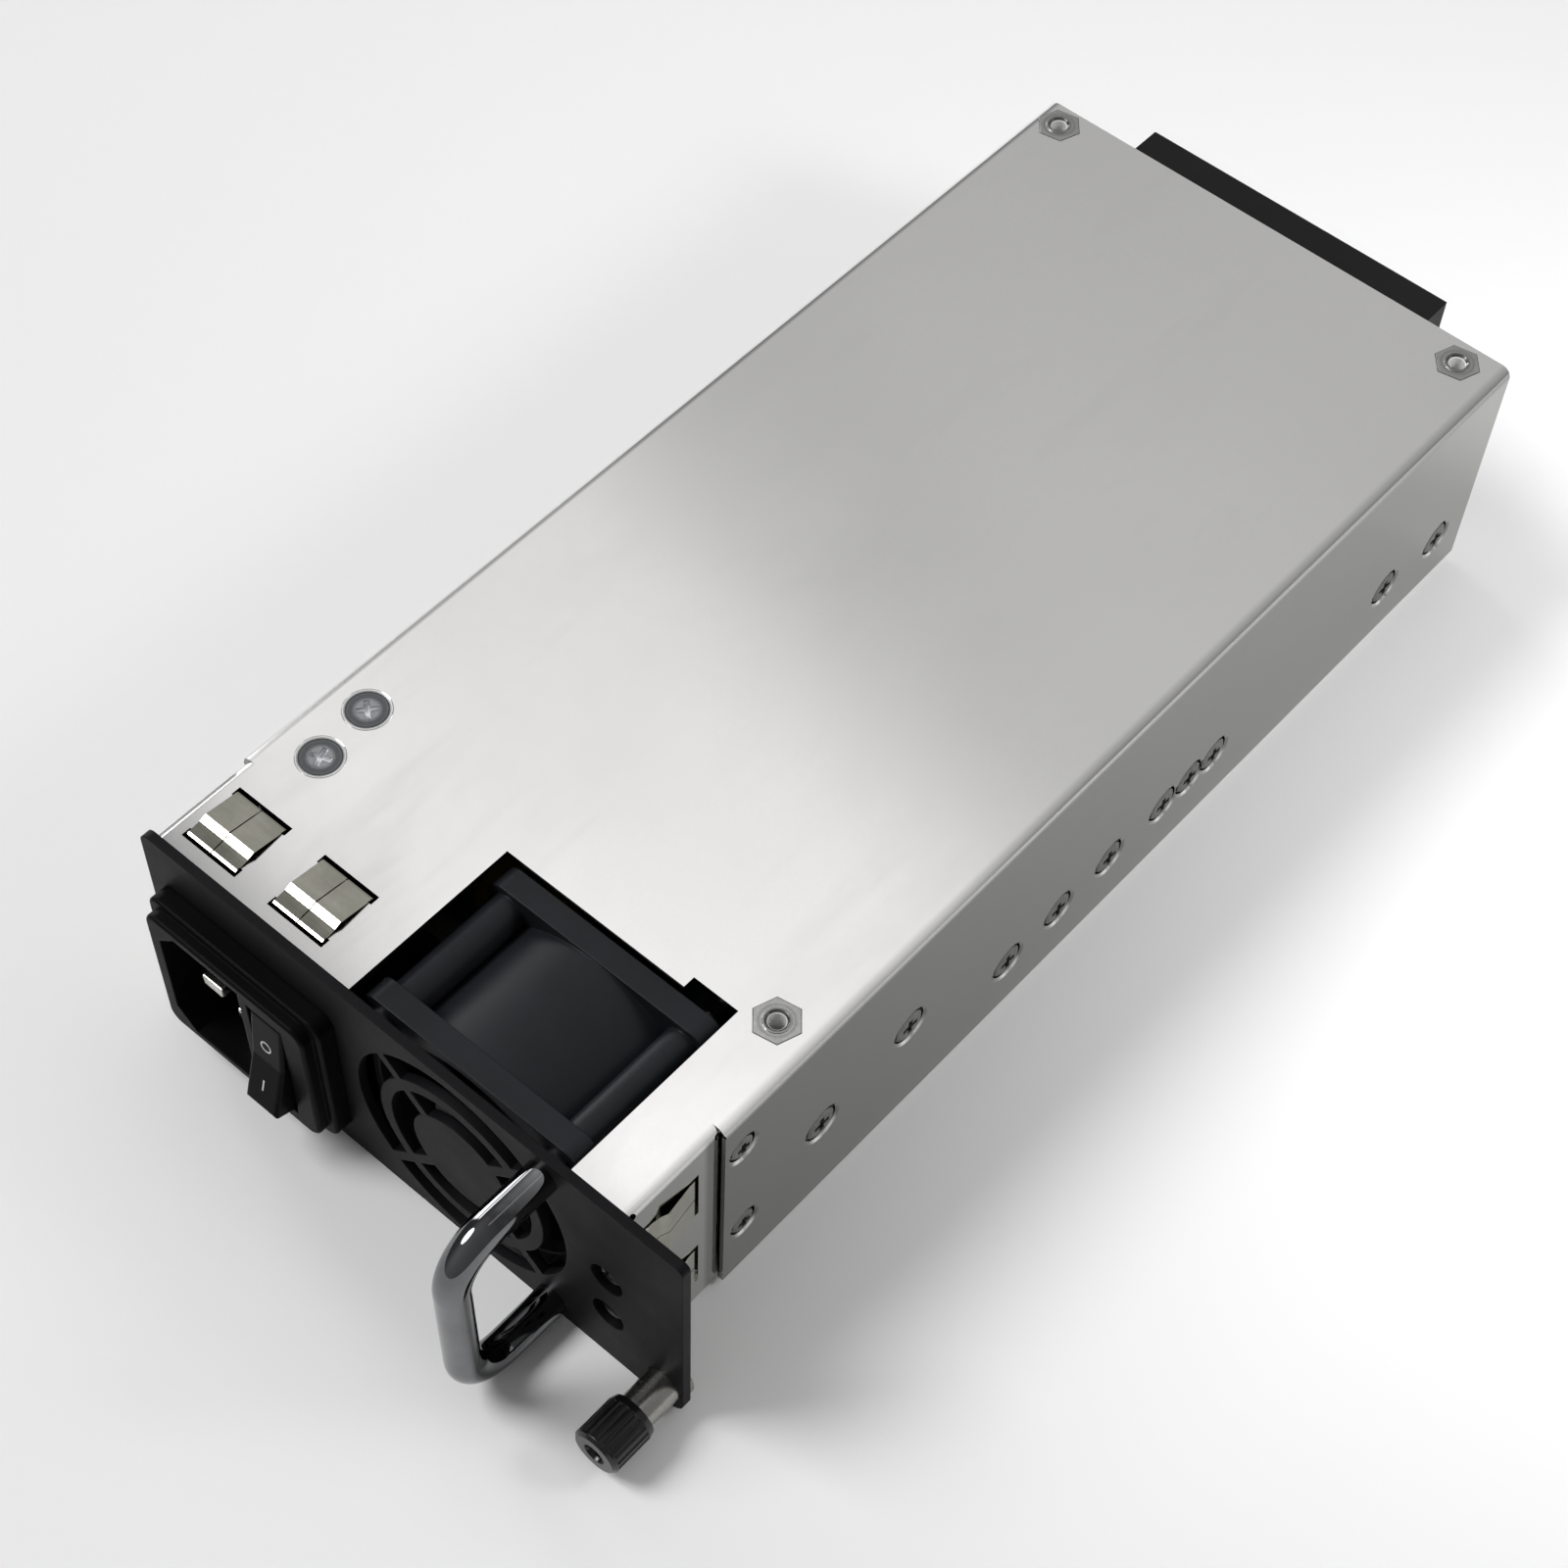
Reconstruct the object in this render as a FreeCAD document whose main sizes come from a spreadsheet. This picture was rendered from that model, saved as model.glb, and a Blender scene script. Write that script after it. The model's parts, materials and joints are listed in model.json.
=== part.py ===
import FreeCAD, Part
import math
import os
import Sketcher
from FreeCAD import Vector as V, Placement, Rotation

# Hot swap server power supply, 1U high, modelled at real size in millimetres.
# Frame: origin at the centre of the casing's bottom face, +Y from the front plate
# to the rear connector, +Z up, +X to the right seen from the front.

doc = FreeCAD.newDocument("server_power_supply")
sheet = doc.addObject("Spreadsheet::Sheet", "Params")

ROWS = [
    ("case_w", 90.5, "casing width over the side skirts"),
    ("case_l", 199.0, "casing length"),
    ("case_z", 43.0, "casing height"),
    ("skin", 1.0, "sheet thickness of casing"),
    ("jog_w", 1.0, "inward jog of the front flanges"),
    ("jog_l", 17.1, "length of the jogged front part"),
    ("bend_out", 1.8, "outer bend radius of the cover"),
    ("plate_lo", -46.05, "left edge of the front plate"),
    ("plate_hi", 54.65, "right edge of the front plate, with its ear"),
    ("plate_t", 1.5, "front plate thickness"),
    ("fan_w", 40.0, "fan frame width and height"),
    ("fan_d", 28.0, "fan frame depth"),
    ("fan_cx", 13.85, "fan axis, across"),
    ("fan_cz", 21.65, "fan axis, height"),
    ("guard_cz", 21.4, "centre of the fan guard, height"),
    ("fan_bore", 18.8, "fan duct radius"),
    ("fan_gap", 1.7, "gap between plate and fan"),
    ("guard_ro", 19.8, "outer radius of the outer guard slots"),
    ("guard_rm", 15.4, "outer radius of the guard ring"),
    ("guard_rn", 13.3, "inner radius of the guard ring"),
    ("guard_ri", 9.0, "radius of the guard's centre disc"),
    ("spoke_w", 1.8, "guard spoke width"),
    ("inlet_x0", -43.35, "rear flange of the inlet module, left"),
    ("inlet_x1", -9.35, "rear flange of the inlet module, right"),
    ("inlet_z0", 4.6, "rear flange of the inlet module, bottom"),
    ("inlet_z1", 33.8, "rear flange of the inlet module, top"),
    ("flange_a", 3.0, "thickness of the rear flange"),
    ("flange_b", 2.0, "thickness of the front flange"),
    ("cav_x0", -39.75, "inlet cavity, left"),
    ("cav_x1", -23.35, "inlet cavity, right"),
    ("cav_z0", 7.2, "inlet cavity, bottom"),
    ("cav_z1", 31.4, "inlet cavity, top"),
    ("cav_d", 16.5, "inlet cavity depth"),
    ("cav_c", 3.6, "bevel of the cavity's two left corners"),
    ("rock_x", -21.45, "rocker's left side"),
    ("rock_w", 6.3, "rocker width"),
    ("rock_y", -103.0, "rocker pivot, depth"),
    ("rock_z", 19.3, "rocker pivot, height"),
    ("rock_tilt", 12.0, "rocker tilt each side of middle, degrees"),
    ("led_x", 40.95, "indicator lenses, across"),
    ("led_r", 2.9, "indicator hole radius"),
    ("handle_x", 30.15, "plane of the handle"),
    ("handle_r", 2.6, "handle bar radius"),
    ("handle_out", 17.3, "handle centre line in front of the plate"),
    ("handle_z0", 3.2, "lower handle leg, height"),
    ("handle_z1", 38.6, "upper handle leg, height"),
    ("handle_bend", 7.5, "handle bend radius on the centre line"),
    ("thumb_x", 51.15, "thumbscrew axis, across"),
    ("thumb_z", 5.4, "thumbscrew axis, height"),
    ("knob_r", 3.9, "thumbscrew knob radius"),
    ("knob_l", 8.0, "thumbscrew knob length"),
    ("knob_y0", -115.0, "front face of the knob when sprung out"),
    ("sleeve_r", 2.9, "thumbscrew sleeve outer radius"),
    ("conn_w", 57.7, "rear connector width"),
    ("conn_out", 7.3, "rear connector projection"),
    ("conn_z0", 17.5, "rear connector, bottom"),
    ("conn_z1", 41.4, "rear connector, top"),
    ("board_z", 5.0, "underside of the main board"),
    ("board_t", 1.6, "board thickness"),
    ("nut_flat", 6.4, "width across flats of the clinch nuts"),
    ("vent_r", 1.6, "rear vent hole radius"),
]
P = {}
for i, (alias, value, note) in enumerate(ROWS, start=1):
    sheet.set("A%d" % i, alias)
    sheet.set("B%d" % i, repr(value))
    sheet.set("C%d" % i, note)
    sheet.setAlias("B%d" % i, alias)
    P[alias] = value
doc.recompute()


class Dim:
    """A length with its value and the spreadsheet expression that drives it."""

    def __init__(self, v, t=None):
        self.v = float(v)
        self.driven = t is not None
        self.t = t if t is not None else "(%s)" % repr(float(v))

    def _mix(self, o, op, val, swap=False):
        o = D(o)
        a, b = (o, self) if swap else (self, o)
        if a.driven or b.driven:
            return Dim(val, "(%s %s %s)" % (a.t, op, b.t))
        return Dim(val)

    def __add__(self, o):
        return self._mix(o, "+", self.v + D(o).v)

    def __radd__(self, o):
        return self._mix(o, "+", self.v + D(o).v, True)

    def __sub__(self, o):
        return self._mix(o, "-", self.v - D(o).v)

    def __rsub__(self, o):
        return self._mix(o, "-", D(o).v - self.v, True)

    def __mul__(self, o):
        return self._mix(o, "*", self.v * D(o).v)

    def __rmul__(self, o):
        return self._mix(o, "*", self.v * D(o).v, True)

    def __truediv__(self, o):
        return self._mix(o, "/", self.v / D(o).v)

    def __neg__(self):
        return Dim(-self.v, "(0 - %s)" % self.t) if self.driven else Dim(-self.v)


def D(x):
    return x if isinstance(x, Dim) else Dim(x)


def g(alias):
    return Dim(P[alias], "Params." + alias)


def put(obj, prop, d):
    """Sets a property, or binds it to the sheet when the length is driven."""
    d = D(d)
    if d.driven:
        obj.setExpression(prop, d.t)
    else:
        setattr(obj, prop, d.v)


def place(obj, x, y, z, rot=None):
    x, y, z = D(x), D(y), D(z)
    obj.Placement = Placement(V(x.v, y.v, z.v), rot or Rotation())
    for c, d in (("x", x), ("y", y), ("z", z)):
        if d.driven:
            obj.setExpression("Placement.Base." + c, d.t)
    return obj


AX = {"Z": Rotation(), "Y": Rotation(V(1, 0, 0), -90), "X": Rotation(V(0, 1, 0), 90),
      "-Y": Rotation(V(1, 0, 0), 90), "-X": Rotation(V(0, 1, 0), -90), "-Z": Rotation(V(1, 0, 0), 180)}
nodes = {}


def box(name, x0, x1, y0, y1, z0, z1):
    o = doc.addObject("Part::Box", name)
    put(o, "Length", D(x1) - x0)
    put(o, "Width", D(y1) - y0)
    put(o, "Height", D(z1) - z0)
    return place(o, x0, y0, z0)


def cyl(name, r, h, x, y, z, ax="Z"):
    o = doc.addObject("Part::Cylinder", name)
    put(o, "Radius", r)
    put(o, "Height", h)
    return place(o, x, y, z, AX[ax])


def cone(name, r1, r2, h, x, y, z, ax="Z"):
    o = doc.addObject("Part::Cone", name)
    put(o, "Radius1", r1)
    put(o, "Radius2", r2)
    put(o, "Height", h)
    return place(o, x, y, z, AX[ax])


def sphere(name, r, x, y, z):
    o = doc.addObject("Part::Sphere", name)
    put(o, "Radius", r)
    return place(o, x, y, z)


def torus(name, R, r, x, y, z, ax="Z"):
    o = doc.addObject("Part::Torus", name)
    put(o, "Radius1", R)
    put(o, "Radius2", r)
    return place(o, x, y, z, AX[ax])


def fuse(name, parts):
    o = doc.addObject("Part::MultiFuse", name)
    o.Shapes = parts
    o.Refine = True
    return o


def cut(name, base, tools):
    o = doc.addObject("Part::Cut", name)
    o.Base = base
    o.Tool = tools[0] if len(tools) == 1 else fuse(name + "_tools", tools)
    o.Refine = True
    return o


def common(name, a, b):
    o = doc.addObject("Part::Common", name)
    o.Base = a
    o.Tool = b
    return o


def is_line(e, axis):
    c = e.Curve
    if not hasattr(c, "Direction") or hasattr(c, "Radius"):
        return False
    d = c.Direction
    return abs(abs(d.dot(axis)) - 1) < 1e-6


def fillet(name, base, r, pred, kind="Part::Fillet"):
    doc.recompute()
    o = doc.addObject(kind, name)
    o.Base = base
    o.Edges = [(i, r, r) for i, e in enumerate(base.Shape.Edges, start=1) if pred(e)]
    return o


def node(name, obj):
    obj.Label = name
    nodes[name] = obj
    return obj


def mid(e):
    a, b = e.ParameterRange
    return e.valueAt((a + b) / 2.0)


# ---- sketches inside bodies ----

def body(name):
    return doc.addObject("PartDesign::Body", name)


def sketch(b, role, name, off=0.0):
    s = b.newObject("Sketcher::SketchObject", name)
    s.AttachmentSupport = [([f for f in b.Origin.OriginFeatures if f.Role == role][0], "")]
    s.MapMode = "FlatFace"
    off = D(off)
    s.AttachmentOffset = Placement(V(0, 0, off.v), Rotation())
    if off.driven:
        s.setExpression("AttachmentOffset.Base.z", off.t)
    return s


def pin_point(s, gid, pos, x, y):
    """Holds one sketch point at x, y from the sketch origin."""
    for kind, d, axis in (("DistanceX", D(x), -2), ("DistanceY", D(y), -1)):
        if abs(d.v) < 1e-9:
            s.addConstraint(Sketcher.Constraint("PointOnObject", gid, pos, axis))
        else:
            k = s.addConstraint(Sketcher.Constraint(kind, -1, 1, gid, pos, d.v))
            if d.driven:
                s.setExpression("Constraints[%d]" % k, d.t)


def poly(s, pts):
    n = len(pts)
    p = [V(D(x).v, D(y).v, 0) for x, y in pts]
    ids = [s.addGeometry(Part.LineSegment(p[i], p[(i + 1) % n]), False) for i in range(n)]
    for i in range(n):
        s.addConstraint(Sketcher.Constraint("Coincident", ids[i], 2, ids[(i + 1) % n], 1))
    for i in range(n):
        pin_point(s, ids[i], 1, pts[i][0], pts[i][1])
    return ids


def rect(s, x0, x1, y0, y1):
    return poly(s, [(x0, y0), (x1, y0), (x1, y1), (x0, y1)])


def circ(s, x, y, r):
    r = D(r)
    c = s.addGeometry(Part.Circle(V(D(x).v, D(y).v, 0), V(0, 0, 1), r.v), False)
    pin_point(s, c, 3, x, y)
    k = s.addConstraint(Sketcher.Constraint("Radius", c, r.v))
    if r.driven:
        s.setExpression("Constraints[%d]" % k, r.t)
    return c


def pad(b, s, length, back=False, name="Pad"):
    f = b.newObject("PartDesign::Pad", name)
    f.Profile = s
    put(f, "Length", length)
    f.Reversed = back
    return f


def pocket(b, s, length, back=False, name="Pocket"):
    f = b.newObject("PartDesign::Pocket", name)
    f.Profile = s
    put(f, "Length", length)
    f.Reversed = back
    return f


def polar(b, feats, s, n, name="Polar"):
    f = b.newObject("PartDesign::PolarPattern", name)
    f.Originals = feats
    f.Axis = (s, ["N_Axis"])
    f.Angle = 360.0
    f.Occurrences = n
    b.Tip = f
    return f


def revolve(b, s, axis="V_Axis", name="Revolution"):
    f = b.newObject("PartDesign::Revolution", name)
    f.Profile = s
    f.ReferenceAxis = (s, [axis])
    f.Angle = 360.0
    return f


def pd_fillet(b, r, pred, kind="PartDesign::Fillet", name="Fillet"):
    doc.recompute()
    tip = b.Tip
    names = ["Edge%d" % i for i, e in enumerate(tip.Shape.Edges, start=1) if pred(e)]
    f = b.newObject(kind, name)
    f.Base = (tip, names)
    put(f, "Radius" if kind.endswith("Fillet") else "Size", r)
    return f


def tube(pts, r, bend):
    """A round lead along straight runs joined by tangent arcs."""
    pts = [V(*p) for p in pts]
    edges, here, radii = [], pts[0], []
    for i in range(1, len(pts) - 1):
        a, c, d = pts[i - 1], pts[i], pts[i + 1]
        u, w = (c - a).normalize(), (d - c).normalize()
        half = u.getAngle(w) / 2.0
        run = min((c - a).Length, (d - c).Length)
        rad = min(bend, 0.45 * run / math.tan(half))
        t = rad * math.tan(half)
        p0, p1 = c - u * t, c + w * t
        m = (w - u).normalize()
        pm = c + m * (rad / math.cos(half) - rad)
        edges.append(Part.LineSegment(here, p0).toShape())
        edges.append(Part.Arc(p0, pm, p1).toShape())
        here = p1
        radii.append(round(rad, 2))
    edges.append(Part.LineSegment(here, pts[-1]).toShape())
    wire = Part.Wire(edges)
    start = (pts[1] - pts[0]).normalize()
    prof = Part.Wire([Part.Circle(pts[0], start, r).toShape()])
    sh = wire.makePipeShell([prof], True, False)
    print("lead radii", radii, "volume ratio", round(sh.Volume / (math.pi * r * r * wire.Length), 4))
    return sh


# ---------------------------------------------------------------- casing
W2 = g("case_w") / 2
L2 = g("case_l") / 2
H = g("case_z")
T = g("skin")
JW = g("jog_w")
XV, YV, ZV = V(1, 0, 0), V(0, 1, 0), V(0, 0, 1)
w2, l2, hz = P["case_w"] / 2, P["case_l"] / 2, P["case_z"]
y_jog = -l2 + P["jog_l"]          # where the full-width skirts start

# The cover is one folded sheet: a top and two skirts, jogged inward at the front.
cb = body("cover_fold")
s = sketch(cb, "XZ_Plane", "cover_profile", -L2)
poly(s, [(-W2, 1.1), (-W2, H), (W2, H), (W2, 1.1), (W2 - T, 1.1), (W2 - T, H - T), (T - W2, H - T), (T - W2, 1.1)])
pad(cb, s, g("case_l") - g("jog_l"))
pd_fillet(cb, g("bend_out"), lambda e: is_line(e, YV) and abs(mid(e).z - hz) < 0.01)
pd_fillet(cb, 0.8, lambda e: is_line(e, YV) and abs(mid(e).z - hz + 1) < 0.01 and abs(abs(mid(e).x) - w2 + 1) < 0.01)
cf = body("cover_front_fold")
s = sketch(cf, "XZ_Plane", "cover_front_profile", L2 - g("jog_l"))
F2 = W2 - JW
poly(s, [(-F2, 1.2), (-F2, H), (F2, H), (F2, 1.2), (F2 - T, 1.2), (F2 - T, H - T), (T - F2, H - T), (T - F2, 1.2)])
pad(cf, s, g("jog_l"))
pd_fillet(cf, 1.5, lambda e: is_line(e, YV) and abs(mid(e).z - hz) < 0.01)
pd_fillet(cf, 0.5, lambda e: is_line(e, YV) and abs(mid(e).z - hz + 1) < 0.01 and abs(abs(mid(e).x) - w2 + 2) < 0.01)
cover_blank = fuse("cover_blank", [cb, cf])

CX, CZ = g("fan_cx"), g("fan_cz")
tools = [
    box("ct_fan", -6.45, 34.05, -L2 - 1, -L2 + 30.1, 41, 44),
    box("ct_notch", 26.15, 34.05, -L2 + 29, -L2 + 32.1, 41, 44),
    box("ct_slit_l", -W2 - 1, T + JW - W2 + 0.2, y_jog - 0.45, y_jog, -1, 41.4),
    box("ct_slit_r", W2 - T - JW - 0.2, W2 + 1, y_jog - 0.45, y_jog, -1, 41.4),
    cyl("ct_relief_l", 0.6, 5, -W2 + 3, y_jog - 0.42, 41.7, "-X"),
    cyl("ct_relief_r", 0.6, 5, W2 - 3, y_jog - 0.42, 41.7, "X"),
    cyl("ct_relief_fl", 0.62, 6, -W2 + 4, -l2 + 0.52, 41.85, "-X"),
    cyl("ct_relief_fr", 0.62, 6, W2 - 4, -l2 + 0.52, 41.85, "X"),
]
# Each spring clip passes through a pair of narrow slots that face one another like brackets.
SLOT_Y = (-97.4, -86.5)


def bracket_slots(tag, a0, a1, make):
    """Two slots across a0..a1 with short returns toward each other."""
    y0, y1 = SLOT_Y
    return [make(tag + "f", a0, a1, y0, y0 + 1.0), make(tag + "b", a0, a1, y1 - 1.0, y1),
            make(tag + "f0", a0, a0 + 0.45, y0, y0 + 1.6), make(tag + "f1", a1 - 0.45, a1, y0, y0 + 1.6),
            make(tag + "b0", a0, a0 + 0.45, y1 - 1.6, y1), make(tag + "b1", a1 - 0.45, a1, y1 - 1.6, y1)]


TOP_X = (-41.3, -24.4)
SIDE_Z = (26.0, 6.2)
SLOT_W = 10.5
for i, x in enumerate(TOP_X):
    tools += bracket_slots("ct_top%d_" % i, x, x + SLOT_W, lambda n, a, b, c, d: box(n, a, b, c, d, 41, 44))
for i, (xa, xb) in enumerate(((-46, -42), (42, 46))):
    for j, z in enumerate(SIDE_Z):
        tools += bracket_slots("ct_side%d%d_" % (i, j), z, z + SLOT_W, lambda n, a, b, c, d: box(n, xa, xb, c, d, a, b))
NUTS = [(38.83, -65.1), (-40.45, 95.4), (38.05, 95.1)]
for i, (x, y) in enumerate(NUTS):
    hole = doc.addObject("Part::Prism", "ct_nut_%d" % i)
    hole.Polygon = 6
    put(hole, "Circumradius", g("nut_flat") / 1.7320508 + 0.1)
    hole.Height = 4
    tools.append(place(hole, x, y, 40.5, Rotation(V(0, 0, 1), 11)))
TOPS = [(-36.85, -75.4), (-37.95, -65.2)]
for i, (x, y) in enumerate(TOPS):
    tools.append(cone("ct_csk_%d" % i, 1.9, 3.75, 1.02, x, y, 41.99))
SIDE = [(-62.0, 18.9), (-43.2, 22.0), (-19.9, 12.0), (-8.0, 12.6), (4.2, 13.0), (17.5, 12.9), (24.1, 13.1), (30.3, 12.9), (76.3, 11.8), (90.9, 11.2)]
FRONT = [(-78.7, 34.3), (-78.1, 12.7)]
for i, (y, z) in enumerate(SIDE + FRONT):
    r = 3.15 if i < len(SIDE) else 2.5
    for sd, ax in ((1, "X"), (-1, "-X")):
        tools.append(cyl("ct_s%d%s" % (i, ax), r, 2, sd * (w2 - 1.5), y, z, ax))
        tools.append(cone("ct_m%d%s" % (i, ax), r, r + 0.45, 0.31, sd * (w2 - 0.3), y, z, ax))
node("cover", cut("cover", cover_blank, tools))

# The chassis tray carries the boards: a bottom and two walls inside the skirts.
tray = body("chassis_fold")
s = sketch(tray, "XZ_Plane", "chassis_profile", -L2 + 1.1)
A = W2 - 1.3
poly(s, [(-A, 0), (A, 0), (A, 41.0), (A - T, 41.0), (A - T, T), (T - A, T), (T - A, 41.0), (-A, 41.0)])
pad(tray, s, g("case_l") - g("jog_l") - 0.9)
pd_fillet(tray, 1.2, lambda e: is_line(e, YV) and mid(e).z < 0.01)
pieces = [
    tray,
    box("ch_front_floor", T + JW - W2 + 0.3, W2 - T - JW - 0.3, -L2 + 0.2, y_jog + 0.5, 0, T),
    box("ch_lip_l", -42.5, -7.2, -L2 + 0.2, -L2 + 1.2, 0, 4.0),
    box("ch_lip_r", 35.0, 42.5, -L2 + 0.2, -L2 + 1.2, 0, 4.0),
]
tools = []
for i, (y, z) in enumerate(SIDE + FRONT):
    if y > y_jog:
        tools.append(cyl("ch_hole_%d" % i, 1.55, 100, -50, y, z, "X"))
POSTS = [(-37.5, -58.0), (37.5, -52.0), (-37.5, 10.0), (37.5, 54.0), (-37.5, 84.0), (14.0, 86.0)]
for i, (x, y) in enumerate(POSTS):
    tools.append(cyl("ch_stake_%d" % i, 1.94, 2, x, y, -0.5))
node("chassis", cut("chassis", fuse("chassis_blank", pieces), tools))

# Rear panel with its vent holes and the connector opening.
rp = body("rear_panel_body")
s = sketch(rp, "XZ_Plane", "rear_outline", -L2)
rect(s, T + 0.4 - W2 + 0.95, W2 - T - 0.4 - 0.95, 1.05, H - T - 0.1)
pad(rp, s, T)
s = sketch(rp, "XZ_Plane", "rear_connector_hole", -L2)
rect(s, -g("conn_w") / 2 - 0.25, g("conn_w") / 2 + 0.25, g("conn_z0") - 0.25, g("conn_z1") + 0.25)
pocket(rp, s, 3, back=True, name="ConnectorHole")
s = sketch(rp, "XZ_Plane", "rear_vents", -L2)
spots = []
for row in range(3):
    z = 4.6 + row * 3.9
    for c in range(19):
        x = -40.5 + c * 4.5 + (2.25 if row % 2 else 0)
        if x < 41:
            spots.append((x, z))
for row in range(6):
    z = 16.3 + row * 3.9
    for sx in (-1, 1):
        for c in range(2):
            x = 33.75 + c * 4.5 + (2.25 if row % 2 == 0 else 0)
            if x < 40.6 and z < 39.5:
                spots.append((sx * x, z))
first = None
for x, z in spots:
    if first is None:
        first = circ(s, x, z, g("vent_r"))
    else:
        c = s.addGeometry(Part.Circle(V(x, z, 0), V(0, 0, 1), P["vent_r"]), False)
        s.addConstraint(Sketcher.Constraint("Equal", first, c))
pocket(rp, s, 3, back=True, name="Vents")
node("rear_panel", rp)

# ---------------------------------------------------------------- front plate
fy = L2 + g("plate_t")            # distance of the plate's front face in front of the origin
fp = body("front_plate_body")
s = sketch(fp, "XZ_Plane", "plate_outline", L2)
rect(s, g("plate_lo"), g("plate_hi"), 0, H)
pad(fp, s, g("plate_t"))
pd_fillet(fp, 1.9, lambda e: is_line(e, YV) and mid(e).z > 40 and mid(e).x < 0)
pd_fillet(fp, 1.2, lambda e: is_line(e, YV) and mid(e).z > 40 and mid(e).x > 0)
pd_fillet(fp, 3.2, lambda e: is_line(e, YV) and mid(e).z < 3 and mid(e).x > 0)
pd_fillet(fp, 1.2, lambda e: is_line(e, YV) and mid(e).z < 3 and mid(e).x < 0)
s = sketch(fp, "XZ_Plane", "module_hole", fy)
rect(s, g("inlet_x0") + 1.7, g("inlet_x1") - 1.7, g("inlet_z0") + 1.7, g("inlet_z1") - 1.7)
pocket(fp, s, 3, name="ModuleHole")
s = sketch(fp, "XZ_Plane", "small_holes", fy)
circ(s, g("led_x"), 23.0, g("led_r"))
circ(s, g("led_x"), 12.8, g("led_r"))
circ(s, g("thumb_x"), g("thumb_z"), g("sleeve_r") + 0.04)
circ(s, g("handle_x"), g("handle_z0"), 1.6)
circ(s, g("handle_x"), g("handle_z1"), 1.6)
pocket(fp, s, 3, name="SmallHoles")
doc.recompute()


def sector(s, r_out, r_in, half_spoke):
    """One guard slot between two spokes at 45 degrees, as arcs and straight sides."""
    ro, ri = D(r_out), D(r_in)
    a_o = math.pi / 4 - math.asin(half_spoke / ro.v)
    a_i = math.pi / 4 - math.asin(half_spoke / ri.v)
    z = V(0, 0, 1)
    ao = s.addGeometry(Part.ArcOfCircle(Part.Circle(V(0, 0, 0), z, ro.v), -a_o, a_o), False)
    ai = s.addGeometry(Part.ArcOfCircle(Part.Circle(V(0, 0, 0), z, ri.v), -a_i, a_i), False)
    pt = lambda r, a: V(r * math.cos(a), r * math.sin(a), 0)
    l1 = s.addGeometry(Part.LineSegment(pt(ri.v, a_i), pt(ro.v, a_o)), False)
    l2_ = s.addGeometry(Part.LineSegment(pt(ri.v, -a_i), pt(ro.v, -a_o)), False)
    C = Sketcher.Constraint
    s.addConstraint(C("Coincident", ao, 3, -1, 1))
    s.addConstraint(C("Coincident", ai, 3, -1, 1))
    s.addConstraint(C("Coincident", l1, 1, ai, 2))
    s.addConstraint(C("Coincident", l1, 2, ao, 2))
    s.addConstraint(C("Coincident", l2_, 1, ai, 1))
    s.addConstraint(C("Coincident", l2_, 2, ao, 1))
    for gid, r in ((ao, ro), (ai, ri)):
        k = s.addConstraint(C("Radius", gid, r.v))
        if r.driven:
            s.setExpression("Constraints[%d]" % k, r.t)


# Guard slots are cut by a separate slot body so that their pattern turns about the fan axis.
gs = body("guard_slots")
s = sketch(gs, "XZ_Plane", "outer_slot", -2)
sector(s, g("guard_ro"), g("guard_rm"), P["spoke_w"] / 2)
p1 = pad(gs, s, 4, name="OuterSlot")
doc.recompute()
polar(gs, [p1], s, 4, "OuterSlots")
gs2 = body("guard_slots_inner")
s = sketch(gs2, "XZ_Plane", "inner_slot", -2)
sector(s, g("guard_rn"), g("guard_ri"), P["spoke_w"] / 2)
p2 = pad(gs2, s, 4, name="InnerSlot")
doc.recompute()
polar(gs2, [p2], s, 4, "InnerSlots")
for b_ in (gs, gs2):
    place(b_, CX, -L2 - g("plate_t") / 2, g("guard_cz"))
pl = cut("front_plate_cut", fp, [gs, gs2])
tools = [cone("hp_csk_%d" % i, 2.9, 1.6, 1.3, g("handle_x"), -L2 + 0.001, z, "-Y") for i, z in enumerate((g("handle_z0"), g("handle_z1")))]
node("front_plate", cut("front_plate", pl, tools))

# ---------------------------------------------------------------- inlet and switch module
ih = body("inlet_body")
s = sketch(ih, "XZ_Plane", "rear_flange", fy)
rect(s, g("inlet_x0"), g("inlet_x1"), g("inlet_z0"), g("inlet_z1"))
pad(ih, s, g("flange_a"), name="RearFlange")
pd_fillet(ih, 2.2, lambda e: is_line(e, YV))
s = sketch(ih, "XZ_Plane", "front_flange", fy + g("flange_a") - 0.5)
rect(s, g("inlet_x0") + 1.2, g("inlet_x1") - 1.4, g("inlet_z0") + 0.9, g("inlet_z1") - 0.9)
pad(ih, s, g("flange_b") + 0.5, name="FrontFlange")
yf = P["case_l"] / 2 + P["plate_t"] + P["flange_a"]
pd_fillet(ih, 2.4, lambda e: is_line(e, YV) and mid(e).y < -yf + 0.1)
pd_fillet(ih, 0.5, lambda e: abs(mid(e).y + yf) < 0.01 and (mid(e).x < P["inlet_x0"] + 0.7 or mid(e).x > P["inlet_x1"] - 0.7 or mid(e).z < P["inlet_z0"] + 0.6 or mid(e).z > P["inlet_z1"] - 0.6))
pd_fillet(ih, 0.6, lambda e: abs(mid(e).y + yf + P["flange_b"]) < 0.01)
s = sketch(ih, "XZ_Plane", "module_trunk", fy)
rect(s, g("inlet_x0") + 1.9, g("inlet_x1") - 1.9, g("inlet_z0") + 1.9, g("inlet_z1") - 1.9)
pad(ih, s, 19, back=True, name="Trunk")
yo = fy + g("flange_a") + g("flange_b")
s = sketch(ih, "XZ_Plane", "cavity", yo)
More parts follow.
